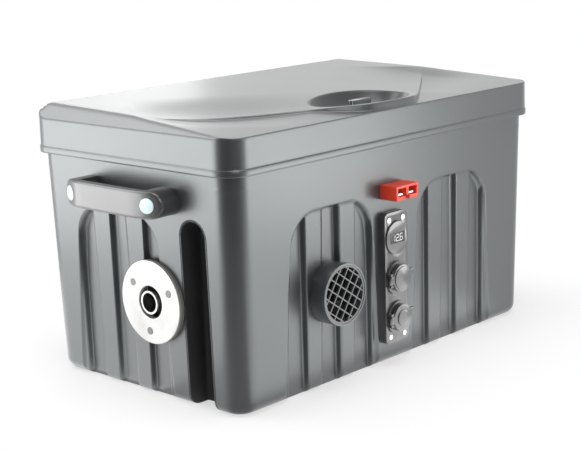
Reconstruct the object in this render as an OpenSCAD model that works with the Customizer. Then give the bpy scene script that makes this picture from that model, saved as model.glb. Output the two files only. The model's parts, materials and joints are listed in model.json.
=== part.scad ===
// Portable air heater built into a drawbar style plastic case with its own battery and fuel tank.
// Millimetres. The origin is the middle of the case's underside, +X to the right seen from the
// front, the front faces -Y and +Z is up.

/* [Case] */
// Length of the case at the lid line
case_l = 497.5; // [480:0.5:540]
// Depth of the case from front to back at the lid line
case_w = 296; // [290:0.5:320]
// Height of the case's own rim, which the lid covers
case_h = 262; // [256:0.5:280]
// Height of the lid's lower edge
lid_line = 244.5; // [240:0.5:250]
// How much the foot of each wall is drawn in
case_draw = 4.5; // [0:0.5:6]
// Corner radius of the case in plan
case_r = 24; // [20:1:30]
// Rounding of the case's bottom edge
foot_r = 12; // [6:1:12]
// Thickness of the case and lid walls
wall = 3.2; // [2.6:0.1:3.6]
// Thickness of the case's floor
floor_t = 4; // [3:0.5:5]

/* [Arched panels] */
// Width of an arched panel at its foot
arch_foot_w = 146; // [130:1:150]
// Width of an arched panel where its rounded head starts
arch_spring_w = 124; // [110:1:128]
// Radius of the panel's two shoulders
arch_r = 40; // [30:1:50]
// Height at which the shoulders start
arch_spring_z = 154; // [140:1:160]
// Height of the panel's foot; below 0 the panel runs out under the case
arch_foot_z = -1; // [-4:1:12]
// Depth of the panel below the wall's face
panel_depth = 2.5; // [1:0.5:3]
// Width of a flute in the panel
flute_w = 28; // [20:0.5:30]
// Distance from one flute to the next
flute_pitch = 51.5; // [44:0.5:56]
// Depth of a flute below its panel
flute_depth = 6; // [3:0.5:6]
// Places of the two panels along the front and the back
panel_x = [-106, 100];
// Shift of the middle flute from its panel's middle on the long walls
flute_shift = 0; // [-6:0.5:6]
// Place of the panel on each end
end_panel_y = 25; // [20:1:30]
// Shift of the middle flute from its panel's middle on the ends
end_flute_shift = 0; // [-4:0.5:4]

/* [Deep slots in the ends] */
// Width of the slot
slot_w = 34.6; // [30:0.1:36]
// Place of the slot along the end
slot_y = -89.3; // [-92:0.1:-88]
// Height of the slot's round head
slot_top = 195; // [180:1:200]
// Depth of the slot
slot_depth = 24; // [15:1:30]

/* [Lid] */
// How far the lid's lower edge stands out past the case's ends
lid_over_end = 6.25; // [5:0.25:8]
// How far it stands out past the case's front and back
lid_over_side = 6; // [5:0.25:8]
// Corner radius of the lid in plan
lid_r = 26; // [22:1:34]
// Height of the lid's upright skirt
skirt_h = 37; // [34:1:42]
// Height of the thicker band along the lower edge
band_h = 7; // [4:1:10]
// How far that band stands out
band_proud = 0.8; // [0.4:0.1:1.2]
// Inset of the top's ridge from the lid's ends
ridge_in = 17; // [12:1:22]
// Rise of the top at the back above the skirt
rise_back = 15; // [13:0.5:18]
// Rise of the top at its middle above the skirt
rise_mid = 11.5; // [10:0.5:12.5]
// Half width of the hood's prow
prow_half = 36; // [30:1:44]
// Height of the prow above the skirt
prow_h = 9; // [7:0.5:10]
// Half length of the lock recess
recess_rx = 58; // [50:1:62]
// Half depth of the lock recess
recess_ry = 42; // [38:1:43]
// Depth of the lock recess below the skirt's top
recess_drop = 5; // [3:0.5:7]
// Width of the rim between the lid's front edge and the lock recess
recess_rim = 14; // [12:0.5:16]

/* [Lid furniture] */
// Distance of each hinge from the middle
hinge_x = 150; // [120:1:170]
// Length of a hinge
hinge_l = 50; // [40:1:60]
// Radius of the hinge pin
hinge_pin_r = 2.5; // [2:0.1:3]
// Outer radius of the hinge barrels
hinge_barrel_r = 4.8; // [4.5:0.1:5.2]
// Distance from the lid's back edge to the hinge axis
hinge_back = 8; // [7:0.5:10]
// Distance of the hinge axis below the lid line
hinge_drop = 7; // [6:0.5:9]
// Thickness of a hinge's leaves
leaf_t = 3; // [2:0.1:3.2]
// Height of the leaf on the case
leaf_h = 34; // [25:1:40]
// Radius of the lock's spindle
lock_r = 6; // [5:0.5:7]
// Radius of the disc under the lock's wing
lock_disc_r = 17; // [15:0.5:20]
// Height of the lock's wing
wing_h = 8; // [6:0.5:9]
// Thickness of the lock's cam and of its catch
cam_t = 3; // [2:0.5:3]
// Length of the lock's cam from its spindle
cam_reach = 34; // [30:1:38]
// Width of the catch under which the cam turns
catch_w = 44; // [34:1:60]
// Thickness of the soft seal under the lid
seal_t = 3.7; // [3:0.1:4.5]

/* [Handles] */
// Length of a handle
handle_l = 148; // [130:1:160]
// Height of a handle
handle_h = 28; // [24:1:32]
// Height of a handle's middle line
handle_z = 213; // [206:1:216]
// How far a handle stands out from the wall
handle_proud = 34; // [30:1:40]
// Thickness of a handle's bar
handle_t = 10; // [8:1:12]
// Radius of the bends at a handle's ends
handle_bend_r = 80; // [70:1:100]
// Radius of the round caps over the handle's screws
cap_r = 7.8; // [6:0.2:9]
// Radius of a handle screw
handle_screw_r = 3; // [2:0.1:3.2]
// Place of those caps from the handle's middle
cap_y = 59; // [55:0.5:60]

/* [Warm air outlet] */
// Outer diameter of the outlet
outlet_d = 66; // [62:0.5:70]
// Place of the outlet along the front
outlet_x = -107; // [-112:1:-105]
// Height of the outlet
outlet_z = 102; // [100:1:106]
// How far the outlet stands out of the wall
outlet_proud = 19; // [15:1:24]
// Length of the outlet's full diameter, which takes the warm air hose
outlet_end_l = 19; // [14:1:20]
// Bore of the outlet and its duct
outlet_bore = 57; // [52:0.5:57]
// Distance between the grille's bars
grille_pitch = 10; // [7:0.5:11]
// Width of a grille bar
grille_bar = 1.2; // [1:0.1:2]
// Angle at which the grille rests
grille_turn = 35; // [0:1:45]

/* [Socket panel] */
// Place of the socket panel along the front
panel_cx = -11; // [-14:1:-8]
// Height of the socket panel's middle
panel_cz = 98.4; // [94:0.1:104]
// Width of the socket panel
plate_w = 38.5; // [37.5:0.5:42]
// Height of the socket panel
plate_h = 146; // [142:1:152]
// How far the socket panel stands out of the wall
plate_proud = 9.5; // [6:0.5:11]
// Distance from one fitting to the next
socket_pitch = 44.5; // [40:0.5:45]
// Radius of a fitting's front ring
ring_r = 18.2; // [16.5:0.1:18.6]
// Radius of a fitting's barrel
barrel_r = 14.2; // [13:0.1:14.4]
// Bore radius of the vehicle power socket
power_bore_r = 10.5; // [10:0.1:11]

/* [Power connector] */
// Width of the two pole connector
conn_w = 37; // [34:0.5:38]
// Height of the connector
conn_h = 16; // [15:0.5:18]
// How far it stands out of the wall
conn_proud = 22.5; // [18:0.5:26]
// Height of its middle line
conn_z = 194; // [190:1:200]
// Place of the connector along the front
conn_x = -8.7; // [-10:0.1:-7]

/* [Exhaust] */
// Height of the exhaust
exhaust_z = 104; // [102:1:106]
// Place of the exhaust along the end
exhaust_y = -26.6; // [-27:0.1:-24]
// Diameter of the bright flange
flange_d = 88; // [80:1:90]
// Thickness of the flange
flange_t = 3; // [2:0.5:4]
// Diameter of the hole in the flange
flange_hole_d = 34.6; // [32:0.2:36]
// Diameter of the circle through its screws
flange_pcd = 62; // [58:1:66]
// Thickness of the gasket behind the flange
gasket_t = 2.5; // [1.5:0.5:3]
// Outer diameter of the exhaust pipe
pipe_d = 24.6; // [22:0.2:26]
// Wall of the exhaust pipe
pipe_t = 2; // [1:0.5:2.5]
// Length of the pipe's full end, which takes the exhaust hose
pipe_end_l = 14; // [10:1:18]

/* [Heater] */
// Width of the heater's casing
heater_w = 112; // [108:1:114]
// Height of the heater's casing
heater_h = 116; // [112:1:116]
// Front end of the casing
heater_y0 = -98; // [-100:1:-96]
// Back end of the casing
heater_y1 = 112; // [110:1:116]
// Height at which the two casing halves meet
casing_split = 128; // [124:1:132]
// Thickness of the heater's casing
casing_t = 2.5; // [2:0.5:3]
// Radius of the heat exchanger's body
exchanger_r = 36; // [34:0.5:36]
// Wall of the heat exchanger
exchanger_t = 5; // [3:0.5:5]
// Height of its fins
fin_h = 8; // [5:0.5:8.5]
// Place of the burner's plate along the casing
burner_y = 18; // [16:1:20]
// Radius of the burner's tube
burner_r = 24; // [20:0.5:24.5]
// Radius of the motor
motor_r = 22; // [18:0.5:24]
// Length of the motor
motor_l = 37; // [30:1:38]
// Radius of the motor's shaft
shaft_r = 3; // [2.5:0.1:3.5]
// Radius of the warm air fan
hot_fan_r = 43; // [38:0.5:45]
// Length of the warm air fan's hub
hot_fan_l = 13; // [12:0.5:14]
// Radius of the combustion air fan
air_fan_r = 34; // [28:0.5:36]
// Depth of the combustion air fan's blades
air_fan_l = 9.5; // [8:0.5:10]
// Number of fins round the heat exchanger
fin_count = 20; // [12:1:28]
// Number of blades of the warm air fan
fan_blades = 9; // [7:1:11]

/* [Fuel and battery] */
// Width of the gap between the fuel tank and the right wall
tank_gap = 14.5; // [14:0.5:40]
// Thickness of the tank's walls
tank_t = 2.5; // [2:0.1:3]
// Height of the fuel tank
tank_h = 196; // [150:1:200]
// Radius of the tank's neck
neck_r = 22; // [18:1:24]
// Length of the battery
battery_l = 196; // [170:1:197]
// Depth of the battery
battery_w = 160; // [120:1:162]
// Height of the battery
battery_h = 168; // [140:1:176]
// Place of the sheet metal partition beside the heater
partition_x = -46; // [-48:1:-44]
// Diameter of the fuel pump
pump_d = 30; // [26:1:30]
// Length of the fuel pump
pump_l = 64; // [56:1:66]
// Height of the partition's shelf
shelf_z = 198; // [192:1:204]

/* [Hidden] */
$fn = 64;

// Clearances: between still pieces, between pieces that pass each other, and in a running fit
gap = 0.2;
pass = 0.4;
run = 0.05;
// Reach of a cutter past the face it opens
past = 20;
panel_total = panel_depth + flute_depth;
lid_l = case_l + 2 * lid_over_end;
lid_w = case_w + 2 * lid_over_side;
skirt_top = lid_line + skirt_h;
ridge_x = lid_l / 2 - ridge_in;
ridge_back = lid_w / 2 - ridge_in;
recess_cy = -lid_w / 2 + recess_rim + recess_ry;
recess_z = skirt_top - recess_drop;
hinge_y = lid_w / 2 + hinge_back;
hinge_z = lid_line - hinge_drop;
catch_z = case_h - 9;
cam_z = catch_z - pass - gap - cam_t;
// The disc under the wing, and the boss round the spindle
lock_disc_t = 2.8;
lock_boss_t = 5;
// Depth and drop of the seal's shelf in from the case's outline
seal_in = 7;
shelf_in = 9;
shelf_t = 3;
plate_y = -(side_y(panel_cz) + plate_proud);
ring_t = 2;
ring_y = plate_y - ring_t;
// The connector's poles, to both sides of its middle, their cavities and the cables' front ends
pole_x = conn_w / 2 - 9.6;
pole_r = 4;
cavity_l = 18;
cable_y0 = -side_y(0) + 16;
socket_z = [panel_cz + socket_pitch, panel_cz, panel_cz - socket_pitch];
cap_axis_x = panel_cx - ring_r + 1.7;
cap_axis_y = ring_y - 2.9;
flange_x = -end_x(exhaust_z + flange_d / 2) - gasket_t;
// How much the pipe and the outlet step in behind the ends that take their hoses
end_step = 0.3;
outlet_step = 1;
outlet_y = -(side_y(outlet_z) + outlet_proud);
inner_y = side_y(outlet_z) - panel_total - wall;
heater_z0 = outlet_z - heater_h / 2;
heater_top = outlet_z + heater_h / 2;
handle_reach = handle_l / 2;
handle_flat = 35;
screw_y = cap_y + 2;
screw_head_r = handle_screw_r + 2.5;
cap_t = 2.3;
cap_sunk = 1.5;
// The hollow between the flutes of opposite walls, at the floor
hollow_x = end_x(0) - panel_total - wall;
hollow_y = side_y(0) - panel_total - wall;

// Stations along the heater's own axis, from the hose boss and burner to the fan at its back
boss_x = outlet_x - exchanger_r - fin_h;
boss_seat = 7;
arm_t = 3;
arm_w = 12;
motor_y0 = burner_y + 27;
motor_y1 = motor_y0 + motor_l;
hot_fan_y0 = motor_y1 + 6;
hot_fan_y1 = hot_fan_y0 + hot_fan_l;
air_fan_y1 = motor_y0 - arm_t - 2.5;
shaft_y0 = air_fan_y1 - air_fan_l - 3;
burner_hose_y = burner_y + 2;
burner_hose_z = outlet_z - exchanger_r + 9;
burner_hose_x = outlet_x + exchanger_r + 11;
hose_nipple_r = 2.6;
plug_r = 3;
fan_seat = 0.01;
// The guard over the air intake in the back
intake_r = outlet_d / 2 - 1;
intake_proud = 3;
slat_pitch = 7;

// The partition, and the battery and tank beside it: the tank fills the depth behind the battery
sheet_t = 2;
tray_t = 3;
tray_lip = 1.5;
tray_h = 14;
strap_t = 1.6;
strap_w = 30;
battery_x0 = end_x(0) - slot_depth - wall - 2.5 - battery_l;
battery_y0 = -(hollow_y - 5);
battery_z0 = floor_t + tray_t;
battery_top = battery_z0 + battery_h;
battery_cx = battery_x0 + battery_l / 2;
battery_cy = battery_y0 + battery_w / 2;
terminal_in = 24;
terminal_x = [battery_x0 + terminal_in, battery_x0 + battery_l - terminal_in];
terminal_y = battery_y0 + terminal_in;
terminal_h = 14;
tank_x0 = partition_x + sheet_t;
tank_x1 = hollow_x - tank_gap;
tank_y0 = battery_y0 + battery_w + 19.1;
tank_y1 = hollow_y - 3.5;
tank_z0 = floor_t;
tank_top = tank_z0 + tank_h;
tank_cx = (tank_x0 + tank_x1) / 2;
tank_r = 12;
neck_x = tank_x1 - 66;
neck_y = (tank_y0 + tank_y1) / 2;
neck_h = 16;

// The pump and filter stand in clips on the partition, under the pickup
pump_x = partition_x + pump_d / 2 + 7;
pump_z0 = 62;
pump_nipple = 14;
filter_r = 11;
filter_z0 = 112;
filter_z1 = 154;
filter_y = tank_y0 - 18.3;
pickup_x = pump_x;
pickup_r = 3;
fuse_x = partition_x + 30;
fuse_y = -68;
fuse_h = 12;
control_x = partition_x + 30;
control_y = -14;
control_h = 20;
dial_y = control_y + 10;
dial_r = 13;
dial_spindle_r = 3;

// Half length and half depth of the case at a height
function end_x(z) = case_l / 2 - case_draw * (1 - z / lid_line);
function side_y(z) = case_w / 2 - case_draw * (1 - z / lid_line);

module rounded_rect(hx, hy, r) {
    square([2 * (hx - r), 2 * hy], center = true);
    square([2 * hx, 2 * (hy - r)], center = true);
    for (sx = [-1, 1], sy = [-1, 1]) translate([sx * (hx - r), sy * (hy - r)]) circle(r);
}

// The case's tapered outline, drawn in by i all round, with its floor at z0 and its top at z1
module case_form(i, z0 = 0, z1 = case_h) {
    fr = max(foot_r - i, 3);
    rc = max(case_r - i, 2 * fr);
    hull() {
        translate([0, 0, z1 - 0.1]) linear_extrude(0.1)
            rounded_rect(end_x(z1) - i, side_y(z1) - i, max(case_r - i, 4), $fn = 32);
        for (sx = [-1, 1], sy = [-1, 1])
            translate([sx * (end_x(0) - i - rc), sy * (side_y(0) - i - rc), z0 + fr])
                rotate_extrude($fn = 32) translate([rc - fr, 0]) circle(fr, $fn = 24);
    }
}

// The low edge z0 of an arch cut from the hollow runs on below the floor
module arch(grow = 0, z0 = arch_foot_z) {
    foot = arch_foot_w / 2 + grow;
    spring = arch_spring_w / 2 + grow;
    mid = arch_spring_w / 2 - arch_r;
    polygon([[-foot, z0], [foot, z0], [spring, arch_spring_z], [-spring, arch_spring_z]]);
    for (s = [-1, 1]) translate([s * mid, arch_spring_z]) circle(arch_r + grow);
    translate([-mid, arch_spring_z]) square([2 * mid, arch_r + grow]);
}

module flutes(shift, grow = 0, z0 = arch_foot_z) intersection() {
    arch(grow, z0);
    for (k = [-1:1]) translate([shift + k * flute_pitch - flute_w / 2 - grow, z0])
        square([flute_w + 2 * grow, case_h]);
}

// A flat outline carried through the front wall, or through the left end
module through_front() translate([0, -case_w / 2 + past, 0])
    rotate([90, 0, 0]) linear_extrude(2 * past) children();
module through_end() translate([-case_l / 2 - past, 0, 0])
    rotate([90, 0, 90]) linear_extrude(2 * past) children();

// The same outlines on all four walls: the panels, or the flutes in them, grown by a wall
module on_walls(fluted, grow = 0, z0 = arch_foot_z) {
    for (back = [0, 1], x = panel_x) mirror([0, back, 0]) through_front() translate([x, 0])
        if (fluted) flutes(flute_shift, grow, z0); else arch(grow, z0);
    for (right = [0, 1]) mirror([right, 0, 0]) through_end() translate([end_panel_y, 0])
        if (fluted) flutes(end_flute_shift, grow, z0); else arch(grow, z0);
}

module slots(grow) for (right = [0, 1]) mirror([right, 0, 0])
    translate([-case_l / 2 - past, slot_y, -past])
        rotate([90, 0, 90]) linear_extrude(past + case_draw + slot_depth + grow) {
            r = slot_w / 2 + grow;
            translate([-r, 0]) square([2 * r, slot_top - slot_w / 2 + past]);
            translate([0, slot_top - slot_w / 2 + past]) circle(r);
        }

// A round tool along Y, X or Z between two places
module rod_y(x, z, r, y0, y1) translate([x, y0, z]) rotate([-90, 0, 0]) cylinder(r = r, h = y1 - y0);
module rod_x(y, z, r, x0, x1) translate([x0, y, z]) rotate([0, 90, 0]) cylinder(r = r, h = x1 - x0);
module rod_z(x, y, r, z0, z1) translate([x, y, z0]) cylinder(r = r, h = z1 - z0);
module block(x0, x1, y0, y1, z0, z1) translate([x0, y0, z0]) cube([x1 - x0, y1 - y0, z1 - z0]);

// A level slice of the hollow, and the hollow drawn in by i, with a chamfer round its floor
module slice(i, z, r) translate([0, 0, z]) linear_extrude(0.1)
    rounded_rect(end_x(z) - i, side_y(z) - i, r, $fn = 32);

module hollow_form(i, z0, z1) {
    chamfer = max(foot_r - i - 1.5, 1);
    hull() {
        slice(i, z1 - 0.1, case_r - i);
        slice(i, z0 + chamfer, case_r - i);
        slice(i + chamfer, z0, case_r - i - chamfer);
    }
}

// Each level of the outside has its own level of the hollow, a wall behind it
module case_hollow() difference() {
    union() {
        difference() { hollow_form(wall, floor_t + 1, case_h + 1); on_walls(false, wall, -past); }
        difference() {
            hollow_form(panel_depth + wall, floor_t + 0.5, case_h + 2);
            on_walls(true, wall, -past);
        }
        hollow_form(panel_total + wall, floor_t, case_h + 3);
    }
    slots(wall);
}

// The tub, with its panels, flutes, slots and the holes for what is fitted to it
module case_body() color("dimgray") difference() {
    union() {
        difference() { case_form(0); on_walls(false); }
        difference() { case_form(panel_depth); on_walls(true); }
        case_form(panel_total);
    }
    case_hollow();
    slots(0);
    rod_y(outlet_x, outlet_z, outlet_d / 2 + gap, -case_w, 0);
    rod_y(outlet_x, outlet_z, intake_r, 0, case_w);
    for (z = socket_z) rod_y(panel_cx, z, barrel_r + gap, -case_w, 0);
    block(conn_x - conn_w / 2 + 2, conn_x + conn_w / 2 - 2, -case_w, -side_y(0) + 20,
        conn_z - conn_h / 2 + 2, conn_z + conn_h / 2 - 2);
    rod_x(exhaust_y, exhaust_z, flange_hole_d / 2, -case_l, -case_l / 4);
    handle_holes();
    flange_holes(-case_l, -case_l / 4, 1.8);
}

module handle_holes() for (right = [0, 1], s = [-1, 1]) mirror([right, 0, 0])
    rod_x(s * screw_y, handle_z, handle_screw_r + gap, -case_l, -case_l / 4);

// The lid's rounded top, drawn in by i all round
module lid_top(i) {
    z = skirt_top - i;
    hull() {
        translate([0, 0, z - 1]) linear_extrude(1)
            rounded_rect(lid_l / 2 - band_proud - i, lid_w / 2 - band_proud - i, lid_r - i, $fn = 48);
        for (s = [-1, 1]) {
            translate([s * (ridge_x - i - 14), ridge_back - i - 14, z])
                cylinder(r = 14, h = rise_back, $fn = 32);
            translate([s * (ridge_x - i - 1), 0, z]) cylinder(r = 1, h = rise_mid);
        }
    }
}

// The hood, which runs out to a prow over the front edge
module hood(i) {
    z = skirt_top - i;
    y = -lid_w / 2 + band_proud + 2.5 + i;
    hull() for (s = [-1, 1]) {
        translate([s * (prow_half - i - 2), y, z - 2]) cylinder(r = 2, h = prow_h + 2, $fn = 32);
        translate([s * (ridge_x - i - 1), 0, z - 2]) cylinder(r = 1, h = rise_mid + 2, $fn = 32);
    }
}

// The egg shaped outline of the lock recess, as points round an ellipse that is fuller at its right
module recess_outline(grow) {
    steps = 48;
    polygon([for (k = [0:steps - 1]) let (a = 360 * k / steps)
        [(recess_rx + grow) * cos(a), (recess_ry + grow) * (1 + 0.06 * cos(a)) * sin(a)]]);
}

module lid_outer() {
    translate([0, 0, lid_line]) linear_extrude(band_h) rounded_rect(lid_l / 2, lid_w / 2, lid_r);
    translate([0, 0, lid_line]) linear_extrude(skirt_h - 0.5)
        rounded_rect(lid_l / 2 - band_proud, lid_w / 2 - band_proud, lid_r);
    lid_top(0);
    hood(0);
}

module lid_inner() {
    i = band_proud + wall;
    translate([0, 0, lid_line - 1]) linear_extrude(skirt_h - wall + 0.5)
        rounded_rect(lid_l / 2 - i, lid_w / 2 - i, lid_r - wall);
    lid_top(wall);
    hood(wall);
}

// The lid, with its seal shelf, its lock recess and the boss that carries the lock
module lid() color("gray") difference() {
    lid_outer();
    difference() {
        lid_inner();
        translate([0, recess_cy, recess_z - wall]) linear_extrude(past) recess_outline(wall);
        rod_z(0, recess_cy, lock_r + lock_boss_t, cam_z + cam_t + pass, recess_z);
        seal_shelf();
    }
    translate([0, recess_cy, recess_z]) linear_extrude(past) recess_outline(0);
    rod_z(0, recess_cy, lock_r + run, lid_line, case_h + past);
}

// The shelf inside the lid that presses the seal on the case's rim
module seal_shelf() translate([0, 0, case_h + pass + seal_t]) linear_extrude(shelf_t) difference() {
    rounded_rect(lid_l / 2, lid_w / 2, lid_r);
    rounded_rect(end_x(case_h) - shelf_in, side_y(case_h) - shelf_in, case_r - shelf_in);
}

module lid_seal() color("black") translate([0, 0, case_h + pass]) linear_extrude(seal_t) difference() {
    rounded_rect(end_x(case_h) + 1, side_y(case_h) + 1, case_r + 1);
    rounded_rect(end_x(case_h) - seal_in, side_y(case_h) - seal_in, case_r - seal_in);
}

// A barrel stretch along the hinge axis, with its bore
module barrel(x0, x1, r, bore) difference() {
    rod_x(hinge_y, hinge_z, r, x0, x1);
    rod_x(hinge_y, hinge_z, bore, x0 - 1, x1 + 1);
}

module hinge_case_leaf() color("silver") for (s = [-1, 1]) translate([s * hinge_x, 0, 0]) {
    third = hinge_l / 3;
    deep = hinge_barrel_r + 3;
    difference() {
        union() {
            block(-hinge_l / 2, hinge_l / 2, side_y(0), case_w / 2 + leaf_t,
                hinge_z - deep - leaf_h, hinge_z - deep);
            for (e = [-1, 1]) translate([e * third, 0, 0]) {
                block(-third / 2, third / 2, side_y(0), hinge_y, hinge_z - deep - 4, hinge_z - 2);
                rod_x(hinge_y, hinge_z, hinge_barrel_r, -third / 2, third / 2);
            }
        }
        rod_x(hinge_y, hinge_z, hinge_pin_r, -hinge_l, hinge_l);
        translate([-s * hinge_x, 0, 0]) case_form(0);
        block(-third / 2 - gap, third / 2 + gap, hinge_y - deep, hinge_y + deep,
            hinge_z - deep, hinge_z + deep);
    }
}

module hinge_lid_leaf() color("silver") for (s = [-1, 1]) translate([s * hinge_x, 0, 0]) {
    half = hinge_l / 6 - gap;
    back = lid_w / 2;
    block(-hinge_l / 2 + 4, hinge_l / 2 - 4, back, back + leaf_t - pass,
        lid_line + 1, lid_line + leaf_h - 4);
    difference() {
        union() {
            block(-half, half, back, hinge_y + hinge_barrel_r, hinge_z, lid_line + 5);
            rod_x(hinge_y, hinge_z, hinge_barrel_r, -half, half);
        }
        rod_x(hinge_y, hinge_z, hinge_pin_r + run, -hinge_l, hinge_l);
        block(-half - 1, half + 1, back - past, hinge_y - hinge_barrel_r, hinge_z - past, lid_line - 0.5);
    }
}

module hinge_pin() color("lightgray") for (s = [-1, 1])
    rod_x(hinge_y, hinge_z, hinge_pin_r, s * hinge_x - hinge_l / 2, s * hinge_x + hinge_l / 2);

// The knob turns in the recess: a disc with a wing grip, and a spindle down to the cam
module lock_knob() color("darkgray") {
    tip = 4;
    reach = lock_disc_r - tip;
    base = recess_z + gap;
    top = base + lock_disc_t;
    rod_z(0, recess_cy, lock_r, cam_z - 2, base + 1);
    rod_z(0, recess_cy, lock_disc_r, base, top);
    for (s = [-1, 1]) rod_z(s * reach, recess_cy, tip, top, top + wing_h);
    block(-reach, reach, recess_cy - tip, recess_cy + tip, top, top + wing_h);
}

module lock_cam() color("silver") difference() {
    half = lock_r;
    union() {
        rod_z(0, recess_cy, lock_r + 4, cam_z, cam_z + cam_t);
        block(0, cam_reach - half, recess_cy - half, recess_cy + half, cam_z, cam_z + cam_t);
        rod_z(cam_reach - half, recess_cy, half, cam_z, cam_z + cam_t);
    }
    rod_z(0, recess_cy, lock_r, cam_z - 1, cam_z + cam_t + 1);
}

// The catch on the case's front wall, which the cam turns under
module lock_catch() color("silver") difference() {
    half = catch_w / 2;
    lug_h = 8 * cam_t;
    union() {
        block(-half, half, -case_w / 2, -side_y(0) + wall + cam_t, catch_z - lug_h, catch_z + cam_t);
        block(-half, half, -case_w / 2, recess_cy - cam_reach + 4 * cam_t, catch_z, catch_z + cam_t);
    }
    difference() {
        translate([0, 0, -1]) case_form(-past, 0, case_h + 5);
        hollow_form(wall, floor_t, case_h + 1);
    }
}

// A bow handle: a bar that bends back at both ends, on two solid arms with round ends
module handle_plan(drop) {
    r = handle_bend_r - drop;
    out = -handle_proud + drop;
    translate([out, -handle_flat]) square([handle_proud - drop, 2 * handle_flat]);
    for (s = [-1, 1]) intersection() {
        translate([out + r, s * handle_flat]) circle(r, $fn = 128);
        translate([-handle_proud, s > 0 ? handle_flat : -handle_reach])
            square([handle_proud + 10, handle_reach - handle_flat]);
    }
    translate([0, -handle_reach]) square([10, 2 * handle_reach]);
}

module handle_shape() difference() {
    intersection() {
        translate([-end_x(handle_z), 0, handle_z - handle_h / 2]) linear_extrude(handle_h) difference() {
            handle_plan(0);
            intersection() {
                handle_plan(handle_t);
                square([2 * handle_proud + past, 2 * (cap_y - cap_r - 1.2)], center = true);
            }
        }
        translate([-case_l / 2 - 2 * past, 0, handle_z]) rotate([0, 90, 0])
            linear_extrude(3 * past) rounded_rect(handle_h / 2, handle_reach, handle_h / 2 - 0.01);
    }
    case_form(0);
    for (s = [-1, 1]) {
        cap_place(s) cylinder(r = cap_r + gap, h = past);
        rod_x(s * screw_y, handle_z, handle_screw_r + gap, -case_l, 0);
        rod_x(s * screw_y, handle_z, screw_head_r + gap, -end_x(handle_z) - handle_proud - 1,
            -end_x(handle_z) - handle_proud + handle_t + 1);
    }
}

// Where a cap lies: on the bend, square to the bar's surface
module cap_place(s) {
    a = asin((cap_y - handle_flat) / handle_bend_r);
    translate([-end_x(handle_z) - handle_proud + handle_bend_r, s * handle_flat, handle_z])
        rotate([0, 0, -s * a]) translate([-handle_bend_r + cap_sunk, 0, 0]) rotate([0, -90, 0]) children();
}

module handle_left() color("lightslategray") handle_shape();
module handle_right() color("lightslategray") mirror([1, 0, 0]) handle_shape();
module handle_caps() color("lightblue") for (right = [0, 1], s = [-1, 1]) mirror([right, 0, 0])
    cap_place(s) cylinder(r = cap_r, h = cap_t);

// Each handle screw runs through its arm and the wall, with its head in the arm and a nut inside
module handle_screws() color("silver") for (right = [0, 1], s = [-1, 1]) mirror([right, 0, 0]) {
    head = -end_x(handle_z) - handle_proud + handle_t - 2;
    inside = -end_x(handle_z) + wall;
    y = s * screw_y;
    rod_x(y, handle_z, handle_screw_r, head, inside + 9);
    rod_x(y, handle_z, screw_head_r, head, head + 3);
    rod_x(y, handle_z, screw_head_r, inside + 0.15, inside + 5);
}

// Warm air outlet: a round collar through the wall with a groove for the grille's bead
module outlet_collar() color("dimgray") {
    r = outlet_d / 2;
    translate([outlet_x, 0, outlet_z]) rotate([-90, 0, 0]) rotate_extrude($fn = 96) difference() {
        union() {
            translate([0, outlet_y]) square([r, outlet_end_l]);
            translate([0, outlet_y]) square([r - outlet_step, -outlet_y - inner_y + 6]);
        }
        translate([-1, outlet_y - 1]) square([outlet_bore / 2 + 1, case_w]);
        translate([-1, outlet_y - 1]) square([r - 1, 7]);
        translate([-1, outlet_y + 3]) square([r, 2]);
    }
    // Its inner flange lies against the sloping inside of the wall
    intersection() {
        difference() {
            rod_y(outlet_x, outlet_z, r + 5, -inner_y - 2, -inner_y + 4);
            rod_y(outlet_x, outlet_z, r - outlet_step - 1, -inner_y - 3, -inner_y + 5);
        }
        hollow_form(panel_total + wall, floor_t, case_h);
    }
}

module outlet_grille() color("lightgray") {
    r = outlet_d / 2 - 2 - run;
    y = outlet_y + 0.8;
    translate([outlet_x, 0, outlet_z]) rotate([-90, 0, 0]) rotate_extrude($fn = 96) {
        translate([r - 2.2, y]) square([2.2, 4.8]);
        translate([r - 1, outlet_y + 3.3]) square([1.6, 1.4]);
    }
    translate([outlet_x, y + 0.4, outlet_z]) rotate([-90, 0, 0]) rotate([0, 0, grille_turn])
        linear_extrude(2.6) intersection() {
            circle(r - 1);
            for (turn = [0, 90], k = [-3:3]) rotate([0, 0, turn])
                translate([(k + 0.5 * turn / 90) * grille_pitch, 0])
                    square([grille_bar, outlet_d], center = true);
        }
}

// The short duct from the heater's casing to the collar, with a flange against the casing
module outlet_duct() color("black") difference() {
    union() {
        rod_y(outlet_x, outlet_z, outlet_bore / 2 + 2, -inner_y + 4.8 + gap, heater_y0 - gap);
        rod_y(outlet_x, outlet_z, outlet_bore / 2 + 8, heater_y0 - 2, heater_y0);
    }
    rod_y(outlet_x, outlet_z, outlet_bore / 2, -case_w / 2, heater_y0 + 1);
    rod_y(outlet_x, outlet_z, outlet_d / 2 + 6, -case_w / 2, -inner_y + 6);
}

// The raised panel that carries the voltmeter and the two sockets
module socket_panel() color("dimgray") difference() {
    translate([panel_cx, 0, panel_cz]) rotate([90, 0, 0])
        linear_extrude(-plate_y) rounded_rect(plate_w / 2, plate_h / 2, 7);
    case_form(0);
    for (z = socket_z) rod_y(panel_cx, z, barrel_r + gap, -case_w, 0);
    panel_screw_places() rod_y(0, 0, 1.5 + gap, -case_w, 0);
    panel_screw_places() rod_y(0, 0, 3 + gap, plate_y - 1, plate_y + 1.6);
}

module panel_screw_places() for (sx = [-1, 1], sz = [-1, 1])
    translate([panel_cx + sx * (plate_w / 2 - 7.5), 0, panel_cz + sz * (plate_h / 2 - 8)]) children();

module panel_screws() color("white") panel_screw_places() {
    rod_y(0, 0, 3, plate_y - 0.3, plate_y + 1.6);
    rod_y(0, 0, 1.5, plate_y, plate_y + plate_proud - 2);
}

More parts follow.
